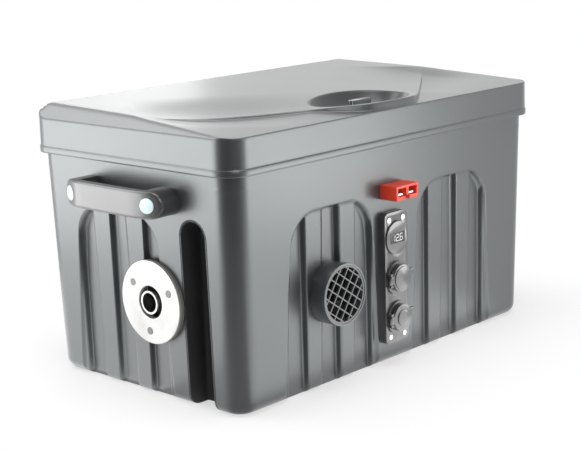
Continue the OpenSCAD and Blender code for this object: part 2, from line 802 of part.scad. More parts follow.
// A round fitting: a ring on the panel's face and a barrel through the wall
module fitting(z, depth) {
    rod_y(panel_cx, z, ring_r, ring_y, plate_y);
    rod_y(panel_cx, z, barrel_r, plate_y - 0.5, plate_y + depth);
}

module voltmeter() color("dimgray") difference() {
    fitting(socket_z[0], 32);
    translate([panel_cx, ring_y, socket_z[0]]) cube([24, 2.4, 11], center = true);
}

module voltmeter_display() color("black")
    translate([panel_cx, ring_y + 0.7, socket_z[0]]) cube([23.6, 1, 10.6], center = true);

// Lugs and pin on a socket's ring, which carry its flip cap
module cap_lugs(z) {
    for (s = [-1, 1]) translate([0, 0, z + s * 6.4])
        block(cap_axis_x - 2.2, cap_axis_x + 2.2, cap_axis_y - 2.2, ring_y + 0.5, -1.2, 1.2);
    rod_z(cap_axis_x, cap_axis_y, 1.2, z - 7, z + 7);
}

module upper_socket() color("dimgray") {
    z = socket_z[1];
    difference() {
        fitting(z, 40);
        for (s = [-1, 1]) translate([panel_cx, ring_y, z + s * 5])
            cube([13.4, 26, 5.6], center = true);
    }
    cap_lugs(z);
}

module lower_socket() color("dimgray") {
    z = socket_z[2];
    difference() {
        fitting(z, 44);
        rod_y(panel_cx, z, power_bore_r, ring_y - 1, ring_y + 42);
    }
    cap_lugs(z);
}

// A flip cap: a disc over the socket, a pull tab at its right and a knuckle on the lugs' pin
module flip_cap(z, boss_r) {
    cx = panel_cx + 1.5;
    y0 = ring_y - 5;
    difference() {
        union() {
            rod_y(cx, z, 15, y0, ring_y - pass);
            rod_y(cx, z, boss_r, y0 - 1.2, y0 + 1);
            block(cx + 12, cx + 20, y0 + 0.4, y0 + 3.4, z + 1, z + 8);
            block(cap_axis_x, cx - 8, y0 + 0.2, ring_y - pass, z - 4.4, z + 4.4);
            rod_z(cap_axis_x, cap_axis_y, 2.3, z - 4.7, z + 4.7);
        }
        rod_z(cap_axis_x, cap_axis_y, 1.2 + run, z - 8, z + 8);
    }
}

module upper_socket_cap() color("gray") flip_cap(socket_z[1], 13);
module lower_socket_cap() color("gray") flip_cap(socket_z[2], 9);

module socket_nuts() color("dimgray") intersection() {
    for (z = socket_z) difference() {
        rod_y(panel_cx, z, barrel_r + 3.6, -side_y(z), -side_y(z) + wall + 6);
        rod_y(panel_cx, z, barrel_r + 0.02, -case_w, 0);
    }
    hollow_form(wall, floor_t, case_h);
}

// The two pole connector, keyed at its middle, with two cavities open to the front
module connector_housing() color("orangered") {
    front = -(side_y(conn_z) + conn_proud);
    difference() {
        union() {
            difference() {
                translate([conn_x, 0, conn_z]) rotate([90, 0, 0]) translate([0, 0, side_y(0) - 10])
                    linear_extrude(-front - side_y(0) + 10) rounded_rect(conn_w / 2, conn_h / 2, 1.5);
                case_form(0);
            }
            block(conn_x - conn_w / 2 + 2 + gap, conn_x + conn_w / 2 - 2 - gap, front + 4,
                -side_y(0) + 14, conn_z - conn_h / 2 + 2 + gap, conn_z + conn_h / 2 - 2 - gap);
        }
        for (s = [-1, 1]) {
            block(conn_x + s * pole_x - 6.8, conn_x + s * pole_x + 6.8, front - 1, front + cavity_l,
                conn_z - 3.6, conn_z + 5.4);
            rod_y(conn_x + s * pole_x, conn_z, pole_r, front + 10, 0);
        }
        block(conn_x - 3.4, conn_x + 3.4, front - 1, front + 12, conn_z - conn_h, conn_z - 3);
    }
}

module connector_contacts() color("goldenrod") for (s = [-1, 1]) {
    front = -(side_y(conn_z) + conn_proud);
    x = conn_x + s * pole_x;
    block(x - 4.6, x + 4.6, front + 3, front + cavity_l - 0.3, conn_z - 2.6, conn_z - 0.8);
    rod_y(x, conn_z, pole_r - 0.1, front + cavity_l - 2, cable_y0);
}

module flange_holes(x0, x1, r) for (a = [25, 145, 265])
    rod_x(exhaust_y - flange_pcd / 2 * cos(a), exhaust_z + flange_pcd / 2 * sin(a), r, x0, x1);

module exhaust_flange() color("whitesmoke") difference() {
    union() {
        rod_x(exhaust_y, exhaust_z, flange_d / 2, flange_x - flange_t, flange_x);
        rod_x(exhaust_y, exhaust_z, flange_hole_d / 2 + 1.8, flange_x - flange_t - 1.2, flange_x);
    }
    rod_x(exhaust_y, exhaust_z, flange_hole_d / 2, -case_l, 0);
    flange_holes(-case_l, 0, 2.2);
    flange_holes(flange_x - flange_t - 1, flange_x - flange_t + 1.4, 4.2);
}

module flange_gasket() color("gray") difference() {
    rod_x(exhaust_y, exhaust_z, flange_d / 2, flange_x, flange_x + gasket_t + 1.5);
    case_form(0);
    rod_x(exhaust_y, exhaust_z, flange_hole_d / 2, -case_l, 0);
    flange_holes(-case_l, 0, 2.2);
}

module flange_screws() color("silver") {
    flange_holes(flange_x - flange_t - 0.4, flange_x - flange_t + 1.4, 4);
    flange_holes(flange_x - flange_t, flange_x + gasket_t + 16, 1.7);
}

// The exhaust pipe seats in the heat exchanger's boss and ends just outside the flange's face
module exhaust_pipe() color("lightgray") difference() {
    tip = flange_x - flange_t - 1.5;
    union() {
        rod_x(exhaust_y, exhaust_z, pipe_d / 2, tip, tip + pipe_end_l);
        rod_x(exhaust_y, exhaust_z, pipe_d / 2 - end_step, tip, boss_x + boss_seat);
    }
    rod_x(exhaust_y, exhaust_z, pipe_d / 2 - pipe_t, -case_l, 0);
}

module casing_shape(i) translate([outlet_x, heater_y0 + i, outlet_z]) rotate([-90, 0, 0])
    linear_extrude(heater_y1 - heater_y0 - 2 * i)
        rounded_rect(heater_w / 2 - i, heater_h / 2 - i, 16 - i);

module casing() difference() {
    casing_shape(0);
    casing_shape(casing_t);
    rod_y(outlet_x, outlet_z, outlet_bore / 2, heater_y0 - 1, heater_y0 + past);
    for (a = [0:30:330]) translate([outlet_x, heater_y1, outlet_z]) rotate([0, a, 0])
        block(18, hot_fan_r - 1, -past, past, -3, 3);
    rod_x(exhaust_y, exhaust_z, pipe_d / 2 + 1, -case_l / 2, outlet_x);
    rod_x(burner_hose_y, burner_hose_z, 4, outlet_x, partition_x);
}

module heater_lower_casing() color("gray") difference() {
    casing();
    block(-case_l, case_l, -case_w, case_w, casing_split, case_h);
}

module heater_upper_casing() color("darkgray") difference() {
    casing();
    block(-case_l, case_l, -case_w, case_w, 0, casing_split + gap);
}

// Arms in a cross that hold a ring in the casing
module spider(y0, y1, bore) difference() {
    in_x = heater_w / 2 - casing_t;
    in_z = heater_h / 2 - casing_t;
    translate([outlet_x, 0, outlet_z]) {
        block(-in_x, in_x, y0, y1, -arm_w / 2, arm_w / 2);
        block(-arm_w / 2, arm_w / 2, y0, y1, -in_z, in_z);
        rod_y(0, 0, exchanger_r + fin_h, y0, y1);
    }
    rod_y(outlet_x, outlet_z, bore, y0 - 1, y1 + 1);
}

// The finned body that the flame heats, with the boss that takes the exhaust pipe
module heat_exchanger() color("silver") difference() {
    y0 = heater_y0 + 12;
    y1 = burner_y - 4;
    union() {
        rod_y(outlet_x, outlet_z, exchanger_r, y0, y1);
        for (k = [0:fin_count - 1]) translate([outlet_x, 0, outlet_z]) rotate([0, 360 * k / fin_count, 0])
            block(exchanger_r - 2, exchanger_r + fin_h, y0 + 6, y1 - 6, -1, 1);
        rod_x(exhaust_y, exhaust_z, pipe_d / 2 + 3, boss_x - 1, outlet_x - exchanger_r / 2);
        spider(y1, burner_y, burner_r + 1);
    }
    rod_y(outlet_x, outlet_z, exchanger_r - exchanger_t, y0 + exchanger_t, y1 + 1);
    rod_x(exhaust_y, exhaust_z, pipe_d / 2 - end_step + run, boss_x - 2, boss_x + boss_seat);
    rod_x(exhaust_y, exhaust_z, pipe_d / 2 - pipe_t, boss_x, outlet_x);
}

// The burner: a tube with air holes on a plate, which the fuel pipe and the glow plug enter
module burner() color("tan") difference() {
    tube_t = 1.6;
    plate_t = 4;
    union() {
        rod_y(outlet_x, outlet_z, burner_r, burner_y - 52, burner_y + 1);
        rod_y(outlet_x, outlet_z, exchanger_r + 6, burner_y, burner_y + plate_t);
        rod_x(burner_hose_y, burner_hose_z, 1.8, outlet_x + exchanger_r - 6, burner_hose_x);
    }
    rod_y(outlet_x, outlet_z, burner_r - tube_t, burner_y - 53, burner_y - 2);
    rod_y(outlet_x, outlet_z, burner_r / 3 - 1, burner_y - 3, burner_y + plate_t + 1);
    plug_place() rod_y(0, 0, plug_r + gap, burner_y - 3, burner_y + plate_t + 1);
    for (a = [0:30:330]) translate([outlet_x, 0, outlet_z]) rotate([0, a, 0])
        rod_z(0, burner_y - 38, 1.5, burner_r - 4, burner_r + 2);
}

module plug_place() translate([outlet_x + 0.54 * burner_r, 0, outlet_z + burner_r / 2]) children();

module glow_plug() color("lightgray") plug_place() {
    head_y = burner_y + 4;
    rod_y(0, 0, plug_r, head_y - past, head_y);
    rod_y(0, 0, plug_r + 1.5, head_y, head_y + 4);
}

// The motor sits on its own cross of arms, with a bore right through for the shaft
module blower_motor() color("dimgray") difference() {
    neck = motor_r - 9;
    union() {
        spider(motor_y0 - arm_t, motor_y0, neck - 1);
        rod_y(outlet_x, outlet_z, motor_r, motor_y0, motor_y1);
        rod_y(outlet_x, outlet_z, neck, motor_y0 - arm_t - 0.5, motor_y0 + 1);
        for (a = [0:90:270]) translate([outlet_x, 0, outlet_z]) rotate([0, a, 0])
            rod_z(0, motor_y1 - 10, 3, motor_r - 4, motor_r + 2);
    }
    rod_y(outlet_x, outlet_z, shaft_r + run, motor_y0 - past, motor_y1 + past);
}

module motor_shaft() color("white") rod_y(outlet_x, outlet_z, shaft_r, shaft_y0, hot_fan_y1 + 1);

module hot_air_fan() color("black") translate([outlet_x, 0, outlet_z]) difference() {
    hub_r = hot_fan_r - 31;
    union() {
        rod_y(0, 0, hub_r, hot_fan_y0, hot_fan_y1);
        for (k = [0:fan_blades - 1]) rotate([0, 360 * k / fan_blades, 0])
            translate([0, (hot_fan_y0 + hot_fan_y1) / 2, 0]) rotate([32, 0, 0])
                block(hub_r - 2, hot_fan_r, -0.8, 0.8, -8, 8);
    }
    rod_y(0, 0, shaft_r + fan_seat, hot_fan_y0 - past, hot_fan_y1 + past);
}

// The small fan that feeds the burner: straight blades on a disc
module combustion_fan() color("black") translate([outlet_x, 0, outlet_z]) difference() {
    disc_t = 1.5;
    top = air_fan_y1 - 1;
    union() {
        rod_y(0, 0, 7, air_fan_y1 - air_fan_l - 2, air_fan_y1 - 0.5);
        rod_y(0, 0, air_fan_r, air_fan_y1 - disc_t, air_fan_y1);
        for (k = [0:11]) rotate([0, 30 * k, 0])
            block(air_fan_r / 2, air_fan_r - 1, top - air_fan_l, top, -0.8, 0.8);
    }
    rod_y(0, 0, shaft_r + fan_seat, burner_y, motor_y0);
}

// The control board hangs on four posts under the top of the casing
module heater_board() color("darkgreen") {
    z = heater_top - casing_t - 9;
    y0 = motor_y0 + 5;
    y1 = motor_y1 + 4;
    board_t = 1.6;
    half = 34;
    block(outlet_x - half, outlet_x + half, y0, y1, z, z + board_t);
    for (sx = [-1, 1], y = [y0 + 4, y1 - 4])
        rod_z(outlet_x + sx * (half - 4), y, 2.5, z, heater_top - casing_t);
    block(outlet_x - half / 2, outlet_x + 4, y0 + 8, y1 - 10, z + board_t, z + 5);
    rod_z(outlet_x + half / 2, (y0 + y1) / 2, 5, z + board_t, z + 7);
}

// A folded bracket that lifts the heater off the floor
module heater_cradle() color("lightgray") {
    w = heater_w / 2 - 8;
    y0 = heater_y0 + 28;
    y1 = heater_y1 - 22;
    block(outlet_x - w, outlet_x + w, y0, y1, heater_z0 - 2.5, heater_z0);
    for (s = [-1, 1]) {
        translate([outlet_x + s * (w - sheet_t / 2), 0, 0])
            block(-sheet_t / 2, sheet_t / 2, y0, y1, floor_t, heater_z0);
        translate([outlet_x + s * (w + 6), 0, 0]) block(-6, 6, y0, y1, floor_t, floor_t + sheet_t);
    }
}

// A sheet metal wall between heater and battery, folded over at its top as a shelf
module partition() color("lightgray") difference() {
    y0 = fuse_y - 24;
    shelf_y1 = tank_y0 - 6;
    union() {
        block(partition_x, partition_x + sheet_t, y0, tank_y1, floor_t, shelf_z);
        block(partition_x, partition_x + 60, y0, shelf_y1, shelf_z - sheet_t, shelf_z);
        block(partition_x, partition_x + 12, y0, tank_y0 - 2, floor_t, floor_t + sheet_t);
    }
    rod_x(burner_hose_y, burner_hose_z, 5, partition_x - 5, partition_x + 5);
    rod_z(pump_x, filter_y, 8, shelf_z - 5, shelf_z + 5);
}

module fuel_tank() color("oldlace") difference() {
    union() {
        tank_block(0, tank_z0, tank_top);
        rod_z(neck_x, neck_y, neck_r, tank_top - 1, tank_top + neck_h);
        rod_z(pickup_x, neck_y, pickup_r + 6, tank_top - 1, tank_top + 3);
    }
    tank_block(tank_t, tank_z0 + tank_t, tank_top - tank_t);
    rod_z(neck_x, neck_y, neck_r - 3, tank_top - 5, case_h);
    rod_z(pickup_x, neck_y, pickup_r + run, tank_top - 5, case_h);
}

module tank_block(i, z0, z1) translate([tank_cx, neck_y, z0]) linear_extrude(z1 - z0)
    rounded_rect((tank_x1 - tank_x0) / 2 - i, (tank_y1 - tank_y0) / 2 - i, tank_r - i);

// The screw cap, knurled by small ribs, drawn as seated on the neck
module tank_cap() color("red") {
    z = tank_top + 3;
    r = neck_r + 3.5;
    lid_z = tank_top + neck_h;
    difference() {
        union() {
            rod_z(neck_x, neck_y, r, z, lid_z + 4);
            for (a = [0:20:340]) translate([neck_x, neck_y, 0]) rotate([0, 0, a])
                block(r - 0.5, r + 1.2, -1.2, 1.2, z, lid_z + 2);
        }
        rod_z(neck_x, neck_y, neck_r + 0.35, z - 1, lid_z);
    }
}

module tank_pickup() color("silver") difference() {
    union() {
        rod_z(pickup_x, neck_y, pickup_r, tank_z0 + 12, tank_top + neck_h);
        rod_z(pickup_x, neck_y, pickup_r + 5, tank_top + 3, tank_top + 6);
    }
    rod_z(pickup_x, neck_y, pickup_r - 1, 0, case_h);
}

module fuel_filter() color("aliceblue") {
    rod_z(pump_x, filter_y, filter_r, filter_z0 + 8, filter_z1 - 8);
    for (z = [filter_z0, filter_z1 - 9]) rod_z(pump_x, filter_y, hose_nipple_r, z, z + 9);
}

module fuel_pump() color("silver") {
    rod_z(pump_x, 0, pump_d / 2, pump_z0, pump_z0 + pump_l);
    rod_z(pump_x, 0, pump_d / 2 - 4, pump_z0 - 6, pump_z0 + pump_l + 6);
    rod_z(pump_x, 0, hose_nipple_r, pump_z0 - pump_nipple, pump_z0 + pump_l + pump_nipple);
}

// A clip round a round body, with its foot against the partition
module clip(y, z, r, h) difference() {
    union() {
        rod_z(pump_x, y, r + 2.6, z - h, z + h);
        block(tank_x0, pump_x, y - 6, y + 6, z - h, z + h);
    }
    rod_z(pump_x, y, r + 0.02, z - h - 1, z + h + 1);
}

module fuel_clips() color("black") {
    clip(0, pump_z0 + pump_l / 2 + 6, pump_d / 2, 8);
    clip(filter_y, (filter_z0 + filter_z1) / 2, filter_r, 5);
}

// Points on a smooth curve through a route, and a tube swept along it with its ends cut square
function curve(p, i, t) = let (n = len(p) - 1, a = p[max(i - 1, 0)], b = p[i], c = p[i + 1],
    d = p[min(i + 2, n)]) 0.5 * (2 * b + (c - a) * t + (2 * a - 5 * b + 4 * c - d) * t * t
    + (3 * b - a - 3 * c + d) * t * t * t);
function route(p, steps) = concat([for (i = [0:len(p) - 2], k = [0:steps - 1]) curve(p, i, k / steps)],
    [p[len(p) - 1]]);
function unit(v) = v / norm(v);

module tube(p, r, steps, side) {
    q = route(p, steps);
    n = len(q);
    last = len(p) - 1;
    s = 8;
    ring = [for (i = [0:n - 1]) let (
        t = i == 0 ? unit(p[1] - p[0]) : i == n - 1 ? unit(p[last] - p[last - 1]) : unit(q[i + 1] - q[i - 1]),
        u = unit(cross(t, side)), w = cross(t, u)) for (k = [0:s - 1])
        q[i] + r * (u * cos(360 * k / s) + w * sin(360 * k / s))];
    polyhedron(ring, concat([[for (k = [0:s - 1]) s - 1 - k]], [[for (k = [0:s - 1]) (n - 1) * s + k]],
        [for (i = [0:n - 2], k = [0:s - 1]) let (a = i * s + k, b = i * s + (k + 1) % s)
            each [[a, b, b + s], [a, b + s, a + s]]]));
}

// The hoses from pickup to filter, from filter to pump, and from the pump through the partition
module fuel_hoses() color("black") {
    top = tank_top + neck_h;
    low = pump_z0 - pump_nipple;
    high = pump_z0 + pump_l + pump_nipple;
    tube([[pickup_x, neck_y, top], [pickup_x, neck_y, top + 7], [pickup_x, neck_y - 22, top + 19],
        [pump_x, filter_y, top - 8], [pump_x, filter_y, filter_z1 + 12], [pump_x, filter_y, filter_z1]],
        3.4, 3, [1, 0.02, 0.01]);
    tube([[pump_x, filter_y, filter_z0], [pump_x, filter_y, filter_z0 - 12],
        [pump_x, filter_y - 4, low - 6], [pump_x, filter_y - 20, low - 24], [pump_x, 0, low - 10],
        [pump_x, 0, low]], 3.4, 3, [1, 0.02, 0.01]);
    tube([[pump_x, 0, high], [pump_x, 0, high + 9], [pump_x + 11, 5, high + 16],
        [pump_x + 21, 12, high], [pump_x + 22, 18, high - 36],
        [pump_x + 14, burner_hose_y + 1, burner_hose_z + 5], [pump_x - 6, burner_hose_y, burner_hose_z],
        [partition_x + 1, burner_hose_y, burner_hose_z], [partition_x - 9, burner_hose_y, burner_hose_z],
        [burner_hose_x, burner_hose_y, burner_hose_z]], 2.4, 3, [0.02, 1, 0.6]);
}

module battery() color("steelblue") {
    translate([battery_cx, battery_cy, battery_z0]) linear_extrude(battery_h - 14)
        rounded_rect(battery_l / 2, battery_w / 2, 5);
    translate([battery_cx, battery_cy, battery_z0]) linear_extrude(battery_h)
        rounded_rect(battery_l / 2 - 3, battery_w / 2 - 3, 4);
}

module battery_terminals() color("silver") for (x = terminal_x) {
    block(x - 11, x + 11, terminal_y - 9, terminal_y + 9, battery_top, battery_top + 3);
    rod_z(x, terminal_y, 4, battery_top, battery_top + terminal_h);
}

// A tray on the floor with a low lip round the battery
module battery_tray() color("gray") difference() {
    translate([battery_cx, battery_cy, floor_t]) linear_extrude(tray_h)
        rounded_rect(battery_l / 2 + gap + tray_lip, battery_w / 2 + gap + tray_lip, 6);
    translate([battery_cx, battery_cy, battery_z0]) linear_extrude(past)
        rounded_rect(battery_l / 2 + gap, battery_w / 2 + gap, 5);
}

// The strap runs over the battery from the tray's front lip to its back lip
module battery_strap() color("black") difference() {
    block(battery_cx - strap_w / 2, battery_cx + strap_w / 2, battery_y0 - strap_t,
        battery_y0 + battery_w + strap_t, floor_t + tray_h, battery_top + gap + strap_t);
    block(battery_cx - strap_w, battery_cx + strap_w, battery_y0 - gap,
        battery_y0 + battery_w + gap, 0, battery_top + gap);
}

module fuse_holder() color("black") {
    half_x = 24;
    half_y = 12;
    block(fuse_x - half_x, fuse_x + half_x, fuse_y - half_y, fuse_y + half_y, shelf_z, shelf_z + fuse_h);
    block(fuse_x - half_x + 8, fuse_x + half_x - 8, fuse_y - half_y + 3, fuse_y + half_y - 3,
        shelf_z + fuse_h, shelf_z + fuse_h + 8);
    for (s = [-1, 1]) rod_z(fuse_x + s * (half_x - 4), fuse_y, 3, shelf_z + fuse_h, shelf_z + fuse_h + 5);
}

// The two power leads from the battery's posts to the connector, held over the strap
module power_cables() color("red") {
    back = cable_y0;
    top = battery_top + terminal_h;
    over = max(conn_z + 3, battery_top + 12);
    tube([[conn_x + pole_x, back, conn_z], [conn_x + pole_x, back + 8, conn_z],
        [conn_x + pole_x + 14, back + 20, conn_z - 2], [terminal_x[0] - 8, terminal_y + 3, top + 12],
        [terminal_x[0], terminal_y, top + 8], [terminal_x[0], terminal_y, top]], 3.6, 4, [0.1, 0.2, 1]);
    tube([[conn_x - pole_x, back, conn_z], [conn_x - pole_x, back + 7, conn_z],
        [conn_x + 11, back + 15, over + 7], [terminal_x[0], back + 9, over + 6],
        [battery_cx, back + 7, over], [terminal_x[1] - 26, back + 12, over + 6],
        [terminal_x[1] - 2, terminal_y - 3, top + 19], [terminal_x[1], terminal_y, top + 9],
        [terminal_x[1], terminal_y, top]], 3.6, 4, [0.1, 0.2, 1]);
}

// A round guard over the hole in the back wall where the heater draws its air
module intake_grille() color("dimgray") difference() {
    y0 = side_y(0) - past;
    y1 = side_y(outlet_z) + intake_proud;
    union() {
        rod_y(outlet_x, outlet_z, intake_r + 10, y0, y1);
        rod_y(outlet_x, outlet_z, intake_r - pass, inner_y + 0.5, y1);
    }
    difference() {
        case_form(0);
        rod_y(outlet_x, outlet_z, intake_r - pass, 0, case_w);
    }
    rod_y(outlet_x, outlet_z, intake_r + 8, 0, inner_y);
    intersection() {
        rod_y(outlet_x, outlet_z, intake_r - 2.5, 0, case_w);
        for (k = [-4:4]) translate([outlet_x, 0, outlet_z + k * slat_pitch])
            block(-intake_r, intake_r, 0, case_w, -slat_pitch / 2 + 1.3, slat_pitch / 2 - 1.3);
    }
}

// The box with the heater's dial and window
module control_unit() color("dimgray") difference() {
    half_x = 27;
    half_y = 32;
    translate([control_x, control_y, shelf_z]) linear_extrude(control_h) rounded_rect(half_x, half_y, 4);
    rod_z(control_x, dial_y, dial_spindle_r + run, shelf_z + 6, case_h);
    block(control_x - half_x + 9, control_x + half_x - 9, control_y - half_y + 8, control_y - half_y + 20,
        shelf_z + control_h - 1, case_h);
}

module control_knob() color("black") {
    z = shelf_z + control_h + pass;
    top = z + 10.6;
    rod_z(control_x, dial_y, dial_spindle_r, shelf_z + 7, z + 1);
    rod_z(control_x, dial_y, dial_r, z, top);
    block(control_x - 1, control_x + 1, dial_y + 2, dial_y + dial_r - 1, top - 1, top + 0.8);
}

case_body();
lid();
lid_seal();
hinge_case_leaf();
hinge_lid_leaf();
hinge_pin();
lock_knob();
lock_cam();
lock_catch();
handle_left();
handle_right();
handle_caps();
handle_screws();
outlet_collar();
outlet_grille();
outlet_duct();
socket_panel();
panel_screws();
voltmeter();
voltmeter_display();
upper_socket();
lower_socket();
upper_socket_cap();
lower_socket_cap();
socket_nuts();
connector_housing();
connector_contacts();
exhaust_flange();
flange_gasket();
flange_screws();
exhaust_pipe();
heater_lower_casing();
heater_upper_casing();
heat_exchanger();
burner();
glow_plug();
blower_motor();
motor_shaft();
hot_air_fan();
combustion_fan();
heater_board();
heater_cradle();
partition();
fuel_tank();
tank_cap();
tank_pickup();
fuel_filter();
fuel_pump();
fuel_clips();
fuel_hoses();
battery();
battery_terminals();
battery_tray();
battery_strap();
fuse_holder();
power_cables();
intake_grille();
control_unit();
control_knob();
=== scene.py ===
import json
import math

import bmesh
import bpy
import numpy as np
from mathutils import Matrix, Vector


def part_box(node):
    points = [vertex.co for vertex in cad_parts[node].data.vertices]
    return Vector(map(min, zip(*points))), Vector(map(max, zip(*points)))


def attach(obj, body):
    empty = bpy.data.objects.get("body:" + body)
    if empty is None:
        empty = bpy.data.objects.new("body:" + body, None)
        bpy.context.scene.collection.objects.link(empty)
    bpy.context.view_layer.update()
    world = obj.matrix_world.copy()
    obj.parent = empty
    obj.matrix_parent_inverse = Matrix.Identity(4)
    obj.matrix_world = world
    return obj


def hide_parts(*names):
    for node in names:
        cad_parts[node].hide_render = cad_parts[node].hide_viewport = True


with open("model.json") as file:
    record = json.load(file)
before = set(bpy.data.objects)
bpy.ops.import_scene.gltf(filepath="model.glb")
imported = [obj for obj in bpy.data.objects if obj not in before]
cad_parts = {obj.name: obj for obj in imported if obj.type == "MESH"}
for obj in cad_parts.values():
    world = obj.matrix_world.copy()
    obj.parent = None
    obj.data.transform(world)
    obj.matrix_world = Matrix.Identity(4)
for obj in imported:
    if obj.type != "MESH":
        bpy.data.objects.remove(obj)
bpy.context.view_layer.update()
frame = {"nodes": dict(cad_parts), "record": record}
nodes = frame["nodes"]
slot_of = {part["node"]: part["material_slot"] for part in frame["record"]["subparts"]}
body_of = {node: body for body, held in frame["record"]["behaviour"]["bodies"].items() for node in held}

MM = 0.001
QUARTER = math.pi / 2
# Points closer than this, in metres, are merged
MERGE = 0.00002

# Sizes of the case, in millimetres, as in the part's source
CASE_HALF_X, CASE_HALF_Y, CASE_TOP = 248.75, 148.0, 262.0
LID_LINE, FOOT_DRAW, CASE_CORNER, FOOT_ROUND = 244.5, 4.5, 24.0, 12.0
WALL, FLOOR = 3.2, 4.0
BEAD_Z, BEAD_OUT = 231.0, 0.3
ARCH_FOOT, ARCH_SPRING, ARCH_ROUND, ARCH_SPRING_Z = 75.0, 64.0, 40.0, 154.0
PANEL_DEPTH, FLUTE_DEPTH, FLUTE_PITCH, FLUTE_MEAN = 2.5, 6.0, 51.5, 14.0
# Half width of a flute at its head, what it gains down to the foot, and the head's height
FLUTE_HEAD, FLUTE_GAIN, FLUTE_HEAD_Z = 12.8, 2.6, 190.0
# Run of the rounded flanks: at a panel's edge, along a flute and at a flute's head
PANEL_FLANK, FLUTE_FLANK, FLUTE_END = 2.2, 2.0, 3.2
# Distances from an arch's middle at which its round shoulders and leaning sides run, and the
# heights of its shoulders
ARCH_SIDES, ARCH_SHOULDERS = range(24, 79, 5), [160, 174, 188]
# Middle of each arch and of its middle flute, on the long walls and on the ends
LONG_PANELS = ((-104.5, -105.0), (101.5, 98.5))
END_PANELS = ((27.0, 26.9),)
SLOT_Y, SLOT_HALF, SLOT_TOP, SLOT_FLOOR_X = -89.3, 17.3, 195.0, 220.25
SLOT_HEAD = SLOT_TOP - SLOT_HALF
OUTLET, EXHAUST, PANEL_X, SOCKET_Z = (-107.0, 102.0), (-26.6, 104.0), -11.0, (142.9, 98.4, 53.9)
# Radius of what is cut from the walls for the outlet and intake, the exhaust and each socket
OUTLET_BORE, EXHAUST_BORE, SOCKET_BORE = 32.4, 22.0, 16.5
# Further from the middle than this, a cell of the case belongs to an end or to a long wall
END_WALLS, LONG_WALLS = 214.0, 100.0

# Sizes of the lid. The top starts inside the outline, and the bevels start above the skirt
LID_HALF_X, LID_HALF_Y, LID_CORNER, LID_WALL = 255.0, 154.0, 26.0, 3.9
LID_FLAT_X, LID_FLAT_Y = LID_HALF_X - LID_CORNER, LID_HALF_Y - LID_CORNER
TOP_INSET, SKIRT_TOP, SHOULDER = 2.4, 281.5, 1.2
END_BEVEL_X, END_BEVEL_SLOPE, BACK_BEVEL_Y = 254.0, 0.92, 153.4
# Height of the top's middle, its rise over a run to the back, and how steeply the hood and the
# slope below it fall to the front
TOP_Z, TOP_RISE, TOP_RUN = 293.0, 3.5, 140.0
HOOD_FALL, SLOPE_FALL = 2.6 / 150.0, 10.5 / 152.0
# How softly the two bevels meet, and the top meets them
BEVEL_SOFT, TOP_SOFT = 0.5, 0.7
# The hood's flank: the kink it starts from at each end, how far it runs along and forwards from
# there, half its width, and how softly it turns at the prow, as a share of its run
KINK_X, FLANK_ALONG, FLANK_FORWARD, FLANK_HALF, FLANK_SOFT = 238.0, 202.0, 150.2, 1.2, 0.035
# The lid's edge belongs to the slope below the flank in front of this place
SLOPE_EDGE_Y = -130.0
# How deep the top hangs beside the flank, and how far from it, on the hood and below it, and
# between which distances from the kinks the hang sets in
HOOD_SAG, SLOPE_SAG, HOOD_REACH, SLOPE_REACH = 7.7, 7.0, 110.0, 75.0
SAG_FROM, SAG_FULL = -12.0, 28.0
# The lock recess: middle, half length and width, floor, how much fuller its right end is, and how
# far round it the top is left out
RECESS_X, RECESS_Y, RECESS_HALF_X, RECESS_HALF_Y = -9.0, -103.0, 64.0, 42.0
RECESS_FLOOR, RECESS_FULLER, RECESS_CUT = 276.5, 0.1, 0.4
# How far inside the skirt's inner face the ceiling ends, and how far below the top it lies
CEILING_GAP, CEILING_DROP = 0.4, 3.4

# The handle: height of its middle, how far it stands out, thickness, half height, reach, half
# opening, half of its straight part, and the radius of its bends
HANDLE_Z, HANDLE_OUT, HANDLE_THICK, HANDLE_HALF = 213.0, 34.0, 10.0, 14.0
HANDLE_REACH, HANDLE_OPEN, HANDLE_FLAT, HANDLE_BEND = 74.0, 50.0, 35.0, 80.0
# The flange's bore, how far its face stands behind the source's, and where the face is divided
FLANGE_BORE, FLANGE_SETBACK, FLANGE_RING = 17.3, 1.15, 30.0


# Mesh making

def xyz(x, y, z):
    """Points from their three coordinates, each an array or one number for all."""
    return np.stack(np.broadcast_arrays(x, y, z), -1)


def show_mesh(name, mesh):
    """An object at the origin with a finished mesh, shaded smooth."""
    mesh.polygons.foreach_set("use_smooth", np.ones(len(mesh.polygons), bool))
    mesh.update()
    obj = bpy.data.objects.new(name, mesh)
    bpy.context.scene.collection.objects.link(obj)
    return obj


def show_bmesh(name, whole):
    """Such an object from a bmesh, which is used up."""
    mesh = bpy.data.meshes.new(name)
    whole.to_mesh(mesh)
    whole.free()
    return show_mesh(name, mesh)


def build_mesh(name, verts, *face_sets):
    """An object from points in millimetres and arrays of faces. Points that no face uses are
    left out."""
    used = np.unique(np.concatenate([faces.ravel() for faces in face_sets]))
    place = np.zeros(len(verts), int)
    place[used] = np.arange(len(used))
    mesh = bpy.data.meshes.new(name)
    faces = sum((place[faces].tolist() for faces in face_sets), [])
    mesh.from_pydata((verts[used] * MM).tolist(), [], faces)
    return show_mesh(name, mesh)


